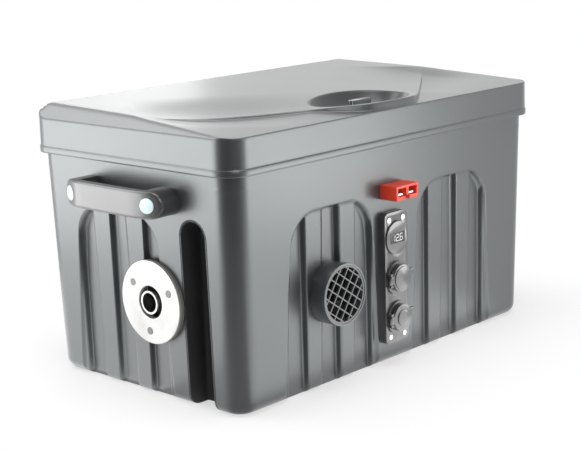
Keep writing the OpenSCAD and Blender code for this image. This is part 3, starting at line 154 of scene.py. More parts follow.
def mesh_from_grid(name, points, around=False, close_first=False, close_last=False, flip=False,
                   keep=None):
    """A surface from points[row, column]: each cell of the grid is one four-sided face.
    Where around is set the last column joins the first. A closed first or last row gets a fan
    to the row's middle point. keep takes the corners of all cells and says which ones stay."""
    rows, cols = points.shape[:2]
    index = np.arange(rows * cols).reshape(rows, cols)
    right = np.roll(index, -1, axis=1) if around else index[:, 1:]
    left = index if around else index[:, :-1]
    quads = np.stack([left[:-1], right[:-1], right[1:], left[1:]], axis=-1).reshape(-1, 4)
    verts = points.reshape(-1, 3)
    if keep is not None:
        quads = quads[keep(verts[quads])]
    fans = []
    for wanted, row in ((close_first, 0), (close_last, rows - 1)):
        if wanted:
            middle = len(verts)
            verts = np.vstack([verts, points[row].mean(axis=0)])
            fan = np.stack([index[row], np.roll(index[row], -1), np.full(cols, middle)], axis=-1)
            fans.append(fan[:, ::-1] if (row == 0) != flip else fan)
    return build_mesh(name, verts, quads[:, ::-1] if flip else quads, *fans)


def join_meshes(name, parts):
    """One object from several, with points that lie together merged."""
    whole = bmesh.new()
    for part in parts:
        whole.from_mesh(part.data)
        bpy.data.objects.remove(part)
    bmesh.ops.remove_doubles(whole, verts=whole.verts, dist=MERGE)
    bmesh.ops.dissolve_degenerate(whole, edges=whole.edges, dist=MERGE)
    return show_bmesh(name, whole)


def ease(t):
    """Rises from 0 to 1 as t does, level at both ends: t squared times three less twice t."""
    t = np.clip(t, 0.0, 1.0)
    return t * t * (3.0 - 2.0 * t)


def lower_of(a, b, soft):
    """The lower of two heights, with the crease between them rounded over the soft length."""
    m = np.minimum(a, b)
    return m - soft * np.log(np.exp(-(a - m) / soft) + np.exp(-(b - m) / soft))


def spaced(start, stop, edges, fine, coarse, reach, lines=()):
    """Places from start to stop, a fine step apart within reach of the given edges and a coarse
    one elsewhere: the inverse of the running total of a density that is higher near each edge.
    A place falls exactly on each of the lines, and the others near it give way."""
    samples, too_near = 6000, 0.45
    x = np.linspace(start, stop, samples)
    near = np.min(np.abs(x[:, None] - np.asarray(edges)[None, :]), axis=1) < reach
    density = np.where(near, 1.0 / fine, 1.0 / coarse)
    total = np.concatenate([[0.0], np.cumsum((density[1:] + density[:-1]) / 2 * np.diff(x))])
    places = np.interp(np.linspace(0, total[-1], int(math.ceil(total[-1])) + 1), total, x)
    if len(lines):
        lines = np.asarray(lines)
        clear = np.min(np.abs(places[:, None] - lines[None, :]), axis=1) > too_near * fine
        clear[[0, -1]] = True
        places = np.sort(np.concatenate([places[clear], lines]))
    return places


# The case

def end_wall(z):
    """How far the ends stand from the middle at a height: they lean out in a straight line."""
    return CASE_HALF_X - FOOT_DRAW * (1 - z / LID_LINE)


def arch_distance(x, z):
    """How far a place lies outside an arched panel's outline, below 0 inside. Each side leans from
    its foot to its spring line, where a quarter round leads to the level head."""
    ax = np.abs(x)
    lean = (ARCH_FOOT - ARCH_SPRING) / ARCH_SPRING_Z
    side = (ax - ARCH_SPRING - (ARCH_SPRING_Z - z) * lean) / math.hypot(1, lean)
    middle = ARCH_SPRING - ARCH_ROUND
    high = np.where(ax > middle, np.hypot(ax - middle, z - ARCH_SPRING_Z) - ARCH_ROUND,
                    z - ARCH_SPRING_Z - ARCH_ROUND)
    return np.where(z < ARCH_SPRING_Z, side, high)


def flute_half(z):
    """Half width of a flute: it widens in a straight line towards the foot."""
    return FLUTE_HEAD + FLUTE_GAIN * (1 - np.clip(z / FLUTE_HEAD_Z, 0, 1))


def panel_depth(x, z, panel, grow):
    """Depth below the wall's face inside one arched panel: the panel, and three flutes within it,
    each reached over a rounded flank. grow widens the outlines for the inside of the wall."""
    arch = arch_distance(x - panel[0], z) - grow
    depth = PANEL_DEPTH * ease(-arch / PANEL_FLANK)
    for k in (-1, 0, 1):
        side = np.abs(x - panel[1] - k * FLUTE_PITCH) - flute_half(z) - grow
        depth = depth + FLUTE_DEPTH * ease(-np.maximum(side / FLUTE_FLANK, arch / FLUTE_END))
    return depth


def flute_lines(panels, offsets):
    """Places at the given offsets outwards from both mean edges of each flute, with the side."""
    return [(flute + k * FLUTE_PITCH + s * (FLUTE_MEAN + offset), s)
            for _, flute in panels for k in (-1, 0, 1) for s in (-1, 1) for offset in offsets]


def panel_columns(start, stop, panels, extra=()):
    """Places along a wall: close together round each arch's shoulders, with places on the flanks
    of every flute and on the extra lines."""
    zones = [arch + s * e for arch, _ in panels for s in (-1, 1) for e in ARCH_SIDES]
    lines = [place for place, _ in flute_lines(panels, (0.0, -0.5, -1.0, -1.5, -FLUTE_FLANK))]
    return spaced(start, stop, zones + list(extra), fine=1.45, coarse=4.0, reach=2.7,
                  lines=lines + list(extra))


def follow_flutes(places, z, panels, scale, fixed=()):
    """Moves places along a wall so that those on a flute's edges follow it as it widens, the fixed
    ones stay, and the others are drawn in by the wall's taper."""
    either_side = (-3.0, 3.0)
    edges = sorted(flute_lines(panels, either_side) + [(place, 0) for place in fixed])
    at, side = np.array(edges).T
    moved = at + side * (float(flute_half(z)) - FLUTE_MEAN)
    ends = places[[0, -1]]
    return np.interp(places, np.concatenate([ends[:1], at, ends[1:]]),
                     np.concatenate([ends[:1] * scale, moved, ends[1:] * scale]))


def foot_inset(z):
    """How far the rounding of the bottom edge draws the outline in at a height."""
    low = np.clip(FOOT_ROUND - z, 0, FOOT_ROUND)
    return FOOT_ROUND - np.sqrt(FOOT_ROUND ** 2 - low ** 2)


def case_row_list():
    """Rows from the outside of the bottom up to the rim and down the inside: height, inset of the
    whole outline, and whether the row is inside. The bottom's edge and the rim are rounded, and a
    faint bead runs round, a bell curve of the height. Rows are closer at the arches' heads."""
    heights = FOOT_ROUND * (1 - np.sin(np.linspace(QUARTER, 0, 10)))
    foot = [(z, float(foot_inset(z)), 0) for z in heights]
    heights = spaced(14.0, CASE_TOP - 1.0, ARCH_SHOULDERS + [BEAD_Z], fine=1.45, coarse=5.0, reach=8.5)
    outer = [(z, -BEAD_OUT * math.exp(-(z - BEAD_Z) ** 2), 0) for z in heights]
    rim = [(CASE_TOP - 0.3, 0.3, 0), (CASE_TOP, 1.0, 0), (CASE_TOP, 2.2, 0), (CASE_TOP - 0.3, 2.9, 0)]
    heights = spaced(FLOOR + 5, CASE_TOP - 1.2, [176], fine=5.0, coarse=16.0, reach=20.0)
    inner = [(z, 0.0, 1) for z in heights[::-1]]
    base = [(FLOOR + 1.5, 1.2, 1), (FLOOR, 5.0, 1)]
    return foot + outer + rim + inner + base


def slot_distance(y, z):
    """How far a place on an end lies outside the slot's outline, below 0 inside: straight sides up
    to a round head."""
    aside = np.abs(y - SLOT_Y)
    return np.where(z > SLOT_HEAD, np.hypot(y - SLOT_Y, z - SLOT_HEAD), aside) - SLOT_HALF


def around_holes(corners):
    """Which cells of the case stay: all but those that touch a slot, and those that lie wholly
    within the bores for the outlet, the intake, the exhaust and the sockets."""
    x, y, z = corners[..., 0], corners[..., 1], corners[..., 2]
    stay = ~((np.abs(x) > END_WALLS).all(axis=1) & (slot_distance(y, z) < -0.1).any(axis=1))
    from_outlet = np.hypot(x - OUTLET[0], z - OUTLET[1])
    stay &= ~((np.abs(y) > LONG_WALLS) & (from_outlet < OUTLET_BORE)).all(axis=1)
    from_exhaust = np.hypot(y - EXHAUST[0], z - EXHAUST[1])
    stay &= ~((x < -END_WALLS) & (from_exhaust < EXHAUST_BORE)).all(axis=1)
    for height in SOCKET_Z:
        from_socket = np.hypot(x - PANEL_X, z - height)
        stay &= ~((y < -LONG_WALLS) & (from_socket < SOCKET_BORE)).all(axis=1)
    return stay


def case_shell():
    """The tub as one surface. Its rows go round a rounded rectangle whose half sizes shrink
    towards the foot in a straight line, pushed in by the depth of panels and flutes. The slots
    have their own surfaces."""
    reach, reach_y = CASE_HALF_X - CASE_CORNER, CASE_HALF_Y - CASE_CORNER
    long_cols = panel_columns(-reach, reach, LONG_PANELS)
    beside = SLOT_HALF + 0.3
    slot_edges = (SLOT_Y - beside, SLOT_Y + beside)
    end_cols = panel_columns(-reach_y, reach_y, END_PANELS, slot_edges)
    corner = np.linspace(0, QUARTER, 13)[1:-1]
    rows = []
    for z, inset, inside in case_row_list():
        fall = FOOT_DRAW * (1 - z / LID_LINE)
        hx, hy = CASE_HALF_X - fall, CASE_HALF_Y - fall
        t = WALL if inside else 0.0
        x = follow_flutes(long_cols, z, LONG_PANELS, (hx - CASE_CORNER) / reach)
        # A wall's depth at each column, with the outline's own inset where that is more
        d = np.maximum(sum(panel_depth(x, z, panel, t) for panel in LONG_PANELS), inset) + t
        front, back = xyz(x, -hy + d, z), xyz(x, hy - d, z)[::-1]
        y = follow_flutes(end_cols, z, END_PANELS, (hy - CASE_CORNER) / reach_y, slot_edges)
        d = np.maximum(panel_depth(y, z, END_PANELS[0], t), inset) + t
        right, left = xyz(hx - d, y, z), xyz(-hx + d, y, z)[::-1]
        r = CASE_CORNER - inset - t

        def quarter(sx, sy, start):
            a = start + corner
            return xyz(sx * (hx - CASE_CORNER) + r * np.cos(a), sy * (hy - CASE_CORNER) + r * np.sin(a), z)

        rows.append(np.vstack([front, quarter(1, -1, -QUARTER), right, quarter(1, 1, 0), back,
                               quarter(-1, 1, QUARTER), left, quarter(-1, -1, math.pi)]))
    # The bottom and the floor close on a smaller outline, square to the walls so no edge folds over
    square = np.array([219.5, 119.0, np.inf])
    rows = [np.clip(rows[0], -square, square), *rows, np.clip(rows[-1], -square, square)]
    return mesh_from_grid("case_shell", np.stack(rows), around=True, close_first=True, close_last=True,
                          keep=around_holes)


def slot_lining(name, side):
    """A slot in an end as rings of one outline, straight up one side, round the head and down the
    other: from a thin lip on the wall, over a rounded edge and in to the floor, and the same shape
    a wall's thickness further out, as the inside of the case shows it. side is -1 or 1 for the end."""
    # Heights up a straight side, closer together where the foot is rounded
    rise = np.concatenate([[0, 0.4, 1.2, 2.4, 4, 6, 8.5, 11.9], np.linspace(15, SLOT_HEAD, 20)])
    turn = np.linspace(0, math.pi, 41)[1:-1]
    level = np.zeros_like(rise)
    out_y = np.concatenate([level - 1, -np.cos(turn), level + 1])
    out_z = np.concatenate([level, np.sin(turn), level])
    y = SLOT_Y + SLOT_HALF * out_y
    z = np.concatenate([rise, SLOT_HEAD + SLOT_HALF * np.sin(turn), rise[::-1]])

    def wall_ring(grow, depth):
        height = z + out_z * grow
        x = end_wall(height) - np.maximum(depth, foot_inset(height) + min(depth, 0.6))
        return xyz(side * x, y + out_y * grow, height)

    def floor_ring(grow, depth):
        height = z + out_z * grow
        x = np.minimum(end_wall(height) - depth, SLOT_FLOOR_X - depth)
        return xyz(side * x, y + out_y * grow, height)

    # How far each ring lies outside the outline, and how deep, below the wall's face or the floor
    lip = ((2.7, 0.10), (2.3, -0.08), (1.3, -0.08), (0.7, 0.0), (0.25, 0.3), (0.03, 0.9),
           (-0.05, 2.0), (-0.25, 11.0))
    floor = ((-0.4, -4.0), (-0.6, -1.2), (-1.6, 0.0), (-9.0, 0.0), (-SLOT_HALF, 0.0))
    back_lip = ((WALL, WALL - 0.2), (WALL, 12.0))
    back_floor = ((WALL, 0.0), (WALL - 1.5, WALL), (-9.0, WALL), (-SLOT_HALF, WALL))
    parts = []
    for label, on_wall, on_floor, flip in (("_face", lip, floor, side > 0),
                                           ("_back", back_lip, back_floor, side < 0)):
        rows = [wall_ring(*at) for at in on_wall] + [floor_ring(*at) for at in on_floor]
        parts.append(mesh_from_grid(name + label, np.stack(rows), flip=flip))
    return join_meshes(name, parts)


# The lid

def crease_y(x):
    """Where the hood's flank crosses a column: in a straight line from the kink at the lid's ends
    to the prow's rounded corner, and straight across the prow."""
    share = np.maximum((KINK_X - np.abs(x)) / FLANK_ALONG, 0.0)
    return -FLANK_FORWARD * lower_of(share, np.ones_like(share), FLANK_SOFT)


def crease_sag(x, y, hooded):
    """How far the top hangs down beside the crease: a sine wave along it for the hood and a shorter
    one for the slope below, which fade out to both sides over a half cosine and at the ends.
    hooded says, for all places or for each, which of the two it is."""
    ax = KINK_X - np.abs(x)
    # Places as a share of the flank's own line, and their distance from it
    squared = FLANK_ALONG ** 2 + FLANK_FORWARD ** 2
    along = np.clip((ax * FLANK_ALONG - y * FLANK_FORWARD) / squared, 0.0, 1.0)
    aside = (y * FLANK_ALONG + ax * FLANK_FORWARD) / math.hypot(FLANK_ALONG, FLANK_FORWARD)
    above = HOOD_SAG * np.sin(math.pi * along ** 0.66) * (1 - 0.5 * along ** 2)
    below = SLOPE_SAG * np.sin(math.pi * np.minimum(along / 0.72, 1) ** 0.8)
    hang = np.where(hooded, above, below) * ease((ax - SAG_FROM) / (SAG_FULL - SAG_FROM))
    reach = np.where(hooded, HOOD_REACH, SLOPE_REACH)
    return hang * (0.5 + 0.5 * np.cos(math.pi * np.minimum(np.abs(aside) / reach, 1.0)))


def lid_height(x, y, hooded):
    """Height of the lid's top: the lower of the end bevels, the back bevel and the top, which falls
    from the back to the middle and then, in front of it, either with the hood or more steeply."""
    end = SKIRT_TOP + (END_BEVEL_X - np.abs(x)) * END_BEVEL_SLOPE
    back = SKIRT_TOP + (BACK_BEVEL_Y - y)
    fall = np.where(hooded, HOOD_FALL, SLOPE_FALL)
    top = TOP_Z + np.where(y > 0, TOP_RISE * y / TOP_RUN, fall * y)
    top = top - crease_sag(x, y, hooded)
    return lower_of(lower_of(end, back, BEVEL_SOFT), top, TOP_SOFT)


def lid_outline(x):
    """Edge of the lid's top, as a distance to the front and back of the middle, at each place x:
    straight, with a quarter round at the corners."""
    r = LID_CORNER - TOP_INSET
    over = np.clip(np.abs(x) - LID_FLAT_X, 0, r)
    return LID_FLAT_Y + np.sqrt(np.maximum(r * r - over * over, 0))


def around_recess(corners):
    """Which cells of the lid's top stay: those that don't touch the lock recess."""
    across = (corners[..., 0] - RECESS_X) / (RECESS_HALF_X + RECESS_CUT)
    fuller = 1 + RECESS_FULLER * np.clip(across, -1, 1)
    along = (corners[..., 1] - RECESS_Y) / ((RECESS_HALF_Y + RECESS_CUT) * fuller)
    return ~(np.hypot(across, along) < 1.0).any(axis=1)


def lid_top():
    """Points of the lid's top, worked out as a height over the plan. Its rows run between the front
    edge and the hood's flank, up the flank, and between the flank and the back edge. They are closer
    together beside the flank and at the back bevel, and the columns over the recess and at the ends."""
    corner = LID_FLAT_X + (LID_CORNER - TOP_INSET) * np.sin(np.linspace(0, QUARTER, 12)[1:])
    over_recess = [RECESS_X + d for d in range(-60, 61, 20)]
    middle = spaced(-LID_FLAT_X, LID_FLAT_X, over_recess + [-226, 226], fine=1.9, coarse=3.6, reach=11.0)
    x = np.concatenate([-corner[::-1], middle, corner])
    edge = lid_outline(x)
    crease = np.clip(crease_y(x), -edge + 1.4, None)
    t_low = ease(np.linspace(0, 1, 40) * 0.8 + 0.1)
    t_low = (t_low - t_low[0]) / (t_low[-1] - t_low[0])
    y_low = -edge + (crease - FLANK_HALF + edge) * t_low[:, None]
    t_high = np.concatenate([spaced(0.0, 0.36, [0.0], fine=0.003, coarse=0.0085, reach=0.02),
                             spaced(0.37, 1.0, [0.955, 1.0], fine=0.004, coarse=0.016, reach=0.03)])
    y_high = (crease + FLANK_HALF) + (edge - crease - FLANK_HALF) * t_high[:, None]
    z_low, z_high = lid_height(x, y_low, False), lid_height(x, y_high, True)
    t = np.array([0.25, 0.5, 0.75])[:, None]
    y_flank = y_low[-1] + (y_high[0] - y_low[-1]) * t
    z_flank = z_low[-1] + (z_high[0] - z_low[-1]) * ease(t)
    return xyz(x, np.vstack([y_low, y_flank, y_high]), np.vstack([z_low, z_flank, z_high]))


def lid_skirt(top):
    """Rows of the lid's wall, each square to the edge of the top: a shoulder, the upright, a
    thicker band and, inside, the wall's other face up to the ceiling. The shoulder is an arc that
    leaves the top at the top's own slope there."""
    px, py, pz = np.vstack([top[0], top[1:, -1], top[-1, ::-1][1:], top[::-1, 0][1:-1]]).T
    on_end = np.abs(px) > LID_FLAT_X
    in_corner = on_end & (np.abs(py) > LID_FLAT_Y - 1e-6)
    nx = np.where(in_corner, px - np.sign(px) * LID_FLAT_X, np.where(on_end, np.sign(px), 0.0))
    ny = np.where(in_corner, py - np.sign(py) * LID_FLAT_Y, np.where(on_end, 0.0, np.sign(py)))
    long = np.hypot(nx, ny)
    nx, ny = nx / long, ny / long
    # The top's slope is its rise over a millimetre inwards, kept between nearly level and 48 degrees
    rise = lid_height(px - nx, py - ny, py > SLOPE_EDGE_Y) - pz
    start = np.arctan(np.clip(rise, 0.05, 1.1))
    bend = SHOULDER / (1 - np.sin(start))
    rows = []
    for share in np.linspace(0, 1, 6):
        angle = start + (QUARTER - start) * share
        rows.append((bend * (np.sin(angle) - np.sin(start)), pz - bend * (np.cos(start) - np.cos(angle))))
    # How far inside the outline, and at what height
    for inside, z in ((SHOULDER, 277.6), (1.05, 261.0), (0.95, 253.6), (0.9, 252.2), (0.75, 251.7),
                      (0.25, 251.4), (0.0, 250.9), (0.0, 246.0), (0.15, 244.9), (0.6, LID_LINE),
                      (2.6, LID_LINE), (3.6, 246.0), (LID_WALL, 268.0), (LID_WALL, 276.0)):
        rows.append((TOP_INSET - inside, z))
    return np.stack([xyz(px + nx * shift, py + ny * shift, z) for shift, z in rows])


def lid_shell():
    """The lid's outside, which is its top and the skirt hung from the top's edge, and its ceiling:
    a coarser copy of the top, lower and drawn in to the skirt's inside."""
    top = lid_top()
    inside = np.array([LID_HALF_X - LID_WALL - CEILING_GAP, LID_HALF_Y - LID_WALL - CEILING_GAP, 1.0])
    outline = np.array([LID_HALF_X - TOP_INSET, LID_HALF_Y - TOP_INSET, 1.0])
    ceiling = top[::3, ::3] * inside / outline - (0.0, 0.0, CEILING_DROP)
    parts = [mesh_from_grid("lid_top", top, keep=around_recess),
             mesh_from_grid("lid_wall", lid_skirt(top), around=True, flip=True)]
    ceiling = mesh_from_grid("lid_ceiling", ceiling, flip=True, keep=around_recess)
    return join_meshes("lid_shell", parts), ceiling


def lock_cup():
    """The egg shaped cup the lock lies in: rings of one outline, from a thin lip on the hood down a
    steep wall to a level floor. The outline is an ellipse that is fuller at its right."""
    a = np.linspace(0, 2 * math.pi, 160, endpoint=False)
    egg_x, egg_y = np.cos(a), (1 + RECESS_FULLER * np.cos(a)) * np.sin(a)

    def outline(grow):
        return RECESS_X + (RECESS_HALF_X + grow) * egg_x, RECESS_Y + (RECESS_HALF_Y + grow) * egg_y

    # Each ring: how far outside the outline, and how far above the lid's top or down to the floor
    rows = []
    for grow, above in ((3.0, -0.25), (2.5, 0.06), (1.0, 0.1), (0.2, -0.1), (-0.7, -0.9), (-1.6, -2.4)):
        x, y = outline(grow)
        rows.append(xyz(x, y, lid_height(x, y, True) + above))
    wall_top = rows[-1][:, 2]
    for grow, share in ((-3.0, 0.18), (-5.0, 0.42), (-7.0, 0.64), (-9.0, 0.82), (-11.5, 0.94),
                        (-15.0, 1.0), (-30.0, 1.0)):
        rows.append(xyz(*outline(grow), wall_top * (1 - share) + RECESS_FLOOR * share))
    return mesh_from_grid("lock_cup", np.stack(rows), around=True, close_last=True, flip=True)


# Handles and flange

def bent(y, radius):
    """How far a handle's line falls back at a place: straight in the middle, then an arc."""
    over = np.clip(np.abs(y) - HANDLE_FLAT, 0, radius)
    return radius - np.sqrt(radius ** 2 - over ** 2)


def handle_bow(name, side):
    """A handle: rings of its long round-ended outline, from the middle line of its front over a
    rounded edge and back along its outside, whose front follows a straight line that bends away
    towards both ends. Three strips line the opening behind the bar, with rounded rims.
    side is -1 or 1 for the end."""
    front_x = end_wall(HANDLE_Z) + HANDLE_OUT
    sunk, rim, edge = 0.5, 1.3, 2.6
    reach, open_y = HANDLE_REACH - HANDLE_HALF, HANDLE_OPEN + rim
    arm = np.linspace(open_y, reach, 5)
    bar = np.linspace(-open_y, open_y, 45)
    turn = np.linspace(0, math.pi, 25)[1:-1]
    top = np.concatenate([arm[::-1], bar[::-1], -arm])
    middle = np.concatenate([top, np.full_like(turn, -reach), -top, np.full_like(turn, reach)])
    angle = np.concatenate([np.full_like(top, QUARTER), QUARTER + turn, np.full_like(top, -QUARTER),
                            turn - QUARTER])
    place = np.arange(len(top) + len(turn))
    in_bar = np.tile((place >= len(arm)) & (place < len(arm) + len(bar)), 2)
    # Each ring: how far inside the outline, and how far behind the front, or None for the wall
    round_off = np.linspace(0, QUARTER, 7)
    rings = [(HANDLE_HALF, 0.0), (11.0, 0.0), (8.0, 0.0), (5.5, 0.0), (3.7, 0.0)]
    rings += [(edge * (1 - math.sin(a)), edge * (1 - math.cos(a))) for a in round_off]
    rings += [(0.0, HANDLE_THICK - rim - 1.5), (0.0, None)]
    rows = []
    for inwards, back in rings:
        y = middle + (HANDLE_HALF - inwards) * np.cos(angle)
        z = HANDLE_Z + (HANDLE_HALF - inwards) * np.sin(angle)
        if back is None:
            behind = front_x - HANDLE_THICK + rim - bent(y, HANDLE_BEND - HANDLE_THICK)
            x = np.where(in_bar, behind, end_wall(z) - sunk)
        else:
            x = front_x - bent(y, HANDLE_BEND) - back
        rows.append(xyz(side * x, y, z))
    parts = [mesh_from_grid("outside", np.stack(rows), around=True, flip=side > 0)]
    # The opening's lining: down from the top rim to the bottom one
    drops = [rim * (1 - math.cos(a)) for a in round_off]
    outs = [rim * (1 - math.sin(a)) for a in round_off]
    rise = np.array([HANDLE_HALF - d for d in drops] + [d - HANDLE_HALF for d in drops[::-1]])
    z, out = HANDLE_Z + rise[:, None], np.array(outs + outs[::-1])[:, None]
    y = np.linspace(-HANDLE_OPEN, HANDLE_OPEN, 45)
    behind = front_x - HANDLE_THICK - bent(y, HANDLE_BEND - HANDLE_THICK)
    bar_back = xyz(side * (behind + out), y * (1 + out / HANDLE_OPEN), z)
    parts.append(mesh_from_grid("bar_back", bar_back, flip=side < 0))
    share = np.linspace(0, 1, 5)
    for arm_side in (-1, 1):
        x = (behind[0] + out) * (1 - share) + (end_wall(z) - sunk) * share
        face = xyz(side * x, arm_side * (HANDLE_OPEN + out), z)
        parts.append(mesh_from_grid("arm_face", face, flip=side * arm_side < 0))
    whole = join_meshes(name, parts)
    whole.data.set_sharp_from_angle(angle=math.radians(50))
    return whole


def turned_flange():
    """The exhaust's flange: one closed profile of radius and depth turned about the pipe's axis,
    with small rounded edges, inside the box of the source's flange."""
    low, high = (np.array(c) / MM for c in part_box("exhaust_flange"))
    outer, thick = (high[1] - low[1]) / 2, high[0] - low[0]
    bore, face = FLANGE_BORE, FLANGE_SETBACK
    profile = np.array([(bore, thick), (bore, face + 0.5), (bore + 0.15, face + 0.15), (bore + 0.5, face),
                        (bore + 1.4, face), (FLANGE_RING, face), (outer - 1.6, face), (outer - 0.7, face),
                        (outer - 0.2, face + 0.2), (outer, face + 0.7), (outer, thick), (bore, thick)])
    radius, depth = profile[:, :1], profile[:, 1:]
    a = np.linspace(0, 2 * math.pi, 128, endpoint=False)
    points = xyz(low[0] + depth, EXHAUST[0] + radius * np.cos(a), EXHAUST[1] + radius * np.sin(a))
    flange = mesh_from_grid("turned_flange", points, around=True)
    flange.data.set_sharp_from_angle(angle=math.radians(50))
    return flange


# Rounded copies of the source's own parts

def eased(node, width):
    """A copy of a part with its triangles merged into whole faces and its edges rounded."""
    whole = bmesh.new()
    whole.from_mesh(nodes[node].data)
    bmesh.ops.remove_doubles(whole, verts=whole.verts, dist=MERGE)
    bmesh.ops.dissolve_limit(whole, angle_limit=math.radians(1.0), verts=whole.verts, edges=whole.edges)
    obj = show_bmesh("eased_" + node, whole)
    rounding = obj.modifiers.new("rounding", "BEVEL")
    rounding.width = width * MM
    rounding.segments = 2
    rounding.limit_method = "ANGLE"
    rounding.angle_limit = math.radians(32.0)
    rounding.harden_normals = True
    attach(obj, body_of[node])
    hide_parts(node)
    return obj


# The display's digits

def display_digits():
    """Three plain digits with a point, each made of seven slanted bars: a bar is a flat box whose
    corners are laid out once and carried to its place, and the whole stands on the display."""
    low, high = (np.array(c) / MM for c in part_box("voltmeter_display"))
    middle = (low + high) / 2
    # A bar's place in digit widths and heights, and whether it is upright
    bars = {"a": (0, 1, 0), "b": (0.5, 0.5, 1), "c": (0.5, -0.5, 1), "d": (0, -1, 0), "e": (-0.5, -0.5, 1),
            "f": (-0.5, 0.5, 1), "g": (0, 0, 0)}
    lit = {"1": "bc", "2": "abged", "6": "acdefg"}
    wide, tall, thick, pitch, gap, point = 4.1, 3.5, 0.75, 6.4, 0.5, 0.9
    proud, clear, slant = 0.12, 0.01, 0.1
    boxes = []
    for place, digit in enumerate("126"):
        for bar in lit[digit]:
            u, v, upright = bars[bar]
            size = (thick, tall - gap) if upright else (wide - gap, thick)
            boxes.append(((place - 1) * pitch + u * wide, v * tall, *size))
    boxes.append((0.5 * pitch, -tall, point, point))
    boxes = np.array(boxes)[:, None]
    corner = np.array([[-1, -1, 0], [1, -1, 0], [1, 1, 0], [-1, 1, 0],
                       [-1, -1, 1], [1, -1, 1], [1, 1, 1], [-1, 1, 1]])
    u = boxes[..., 0] + corner[:, 0] * boxes[..., 2] / 2
    v = boxes[..., 1] + corner[:, 1] * boxes[..., 3] / 2
    points = xyz(middle[0] + u + slant * v, low[1] - clear - proud * corner[:, 2], middle[2] + v)
    face = np.array([[0, 3, 2, 1], [4, 5, 6, 7], [0, 1, 5, 4], [1, 2, 6, 5], [2, 3, 7, 6], [3, 0, 4, 7]])
    quads = (face[None] + 8 * np.arange(len(boxes))[:, None, None]).reshape(-1, 4)
    obj = build_mesh("display_digits", points.reshape(-1, 3), quads)
    obj.data.polygons.foreach_set("use_smooth", np.zeros(len(obj.data.polygons), bool))
    return obj


case = case_shell()
linings = [slot_lining("left_slot_lining", -1), slot_lining("right_slot_lining", 1)]
for piece in [case] + linings:
    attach(piece, "case")
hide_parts("case_body")
lid, lid_ceiling = lid_shell()
cup = lock_cup()
for piece in (lid, lid_ceiling, cup):
    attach(piece, "lid")
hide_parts("lid")

rounded = {}
for node, width in (("handle_caps", 0.5), ("outlet_collar", 0.6), ("socket_panel", 1.2),
                    ("voltmeter", 0.4), ("upper_socket_cap", 0.5), ("lower_socket_cap", 0.5),
                    ("connector_housing", 0.5), ("lock_knob", 0.8)):
    rounded[node] = eased(node, width)
digits = display_digits()
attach(digits, "case")
handles = [handle_bow("left_handle_bow", -1), handle_bow("right_handle_bow", 1)]
flange = turned_flange()
for piece, node in ((handles[0], "handle_left"), (handles[1], "handle_right"), (flange, "exhaust_flange")):
    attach(piece, "case")
    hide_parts(node)


# Shader nodes and groups

def new_group(name, inputs, outputs):
    """An empty node group. Each input is a label, a kind and a value or None, and each output is
    a label and a kind."""
    group = bpy.data.node_groups.new(name, "ShaderNodeTree")
    for label, kind, value in inputs:
        socket = group.interface.new_socket(label, in_out="INPUT", socket_type=kind)
        if value is not None:
            socket.default_value = value
    for label, kind in outputs:
        group.interface.new_socket(label, in_out="OUTPUT", socket_type=kind)
    return group, group.nodes.new("NodeGroupInput"), group.nodes.new("NodeGroupOutput")


def operation(tree, kind, what, values):
    """A node that works on plain values or on what other nodes put out."""
    node = tree.nodes.new(kind)
    node.operation = what
    for socket, value in zip(node.inputs, values):
        if isinstance(value, bpy.types.NodeSocket):
            tree.links.new(value, socket)
        else:
            socket.default_value = value
    return node


def math_node(tree, what, a, b):
    return operation(tree, "ShaderNodeMath", what, (a, b)).outputs[0]


def vector_node(tree, what, *values):
    node = operation(tree, "ShaderNodeVectorMath", what, values)
    return node.outputs["Value" if what in ("LENGTH", "DOT_PRODUCT") else "Vector"]


def smooth_step(tree, value, low, high):
    """Rises from 0 to 1 between two values, level at both."""
    node = tree.nodes.new("ShaderNodeMapRange")
    node.interpolation_type = "SMOOTHSTEP"
    node.inputs["From Min"].default_value = low
    node.inputs["From Max"].default_value = high
    tree.links.new(value, node.inputs["Value"])
    return node.outputs["Result"]


def grain_group():
    """Moulded grain: fine leather-like pebbles with slow waviness, as a height, and a tone that
    drifts over the surface for colour and roughness."""
    number = "NodeSocketFloat"
    g, gin, gout = new_group(
        "moulded_grain",
        [("Vector", "NodeSocketVector", None), ("Pebble", number, 900.0), ("Wave", number, 9.0)],
        [("Height", number), ("Tone", number)])
    fine = g.nodes.new("ShaderNodeTexNoise")
    fine.inputs["Detail"].default_value = 2.0
    wave = g.nodes.new("ShaderNodeTexNoise")
    wave.inputs["Detail"].default_value = 4.0
    for node, label in ((fine, "Pebble"), (wave, "Wave")):
        g.links.new(gin.outputs["Vector"], node.inputs["Vector"])
        g.links.new(gin.outputs[label], node.inputs["Scale"])
    tall = math_node(g, "MULTIPLY", fine.outputs[0], 0.35)
    slow = math_node(g, "MULTIPLY", wave.outputs[0], 0.65)
    g.links.new(math_node(g, "ADD", tall, slow), gout.inputs["Height"])
    g.links.new(wave.outputs[0], gout.inputs["Tone"])
    return g


# Finishes

GRAIN = grain_group()
# How far roughness drifts to both sides, the grain's depth in metres, and the tones at which the
# darkest and lightest colour are reached
ROUGH_DRIFT, GRAIN_DEPTH, TONES = 0.06, 0.0004, (0.3, 0.7)
BLACK, COOL = (0.029, 0.031, 0.033), (0.94, 1.0, 1.0)
finishes = {}


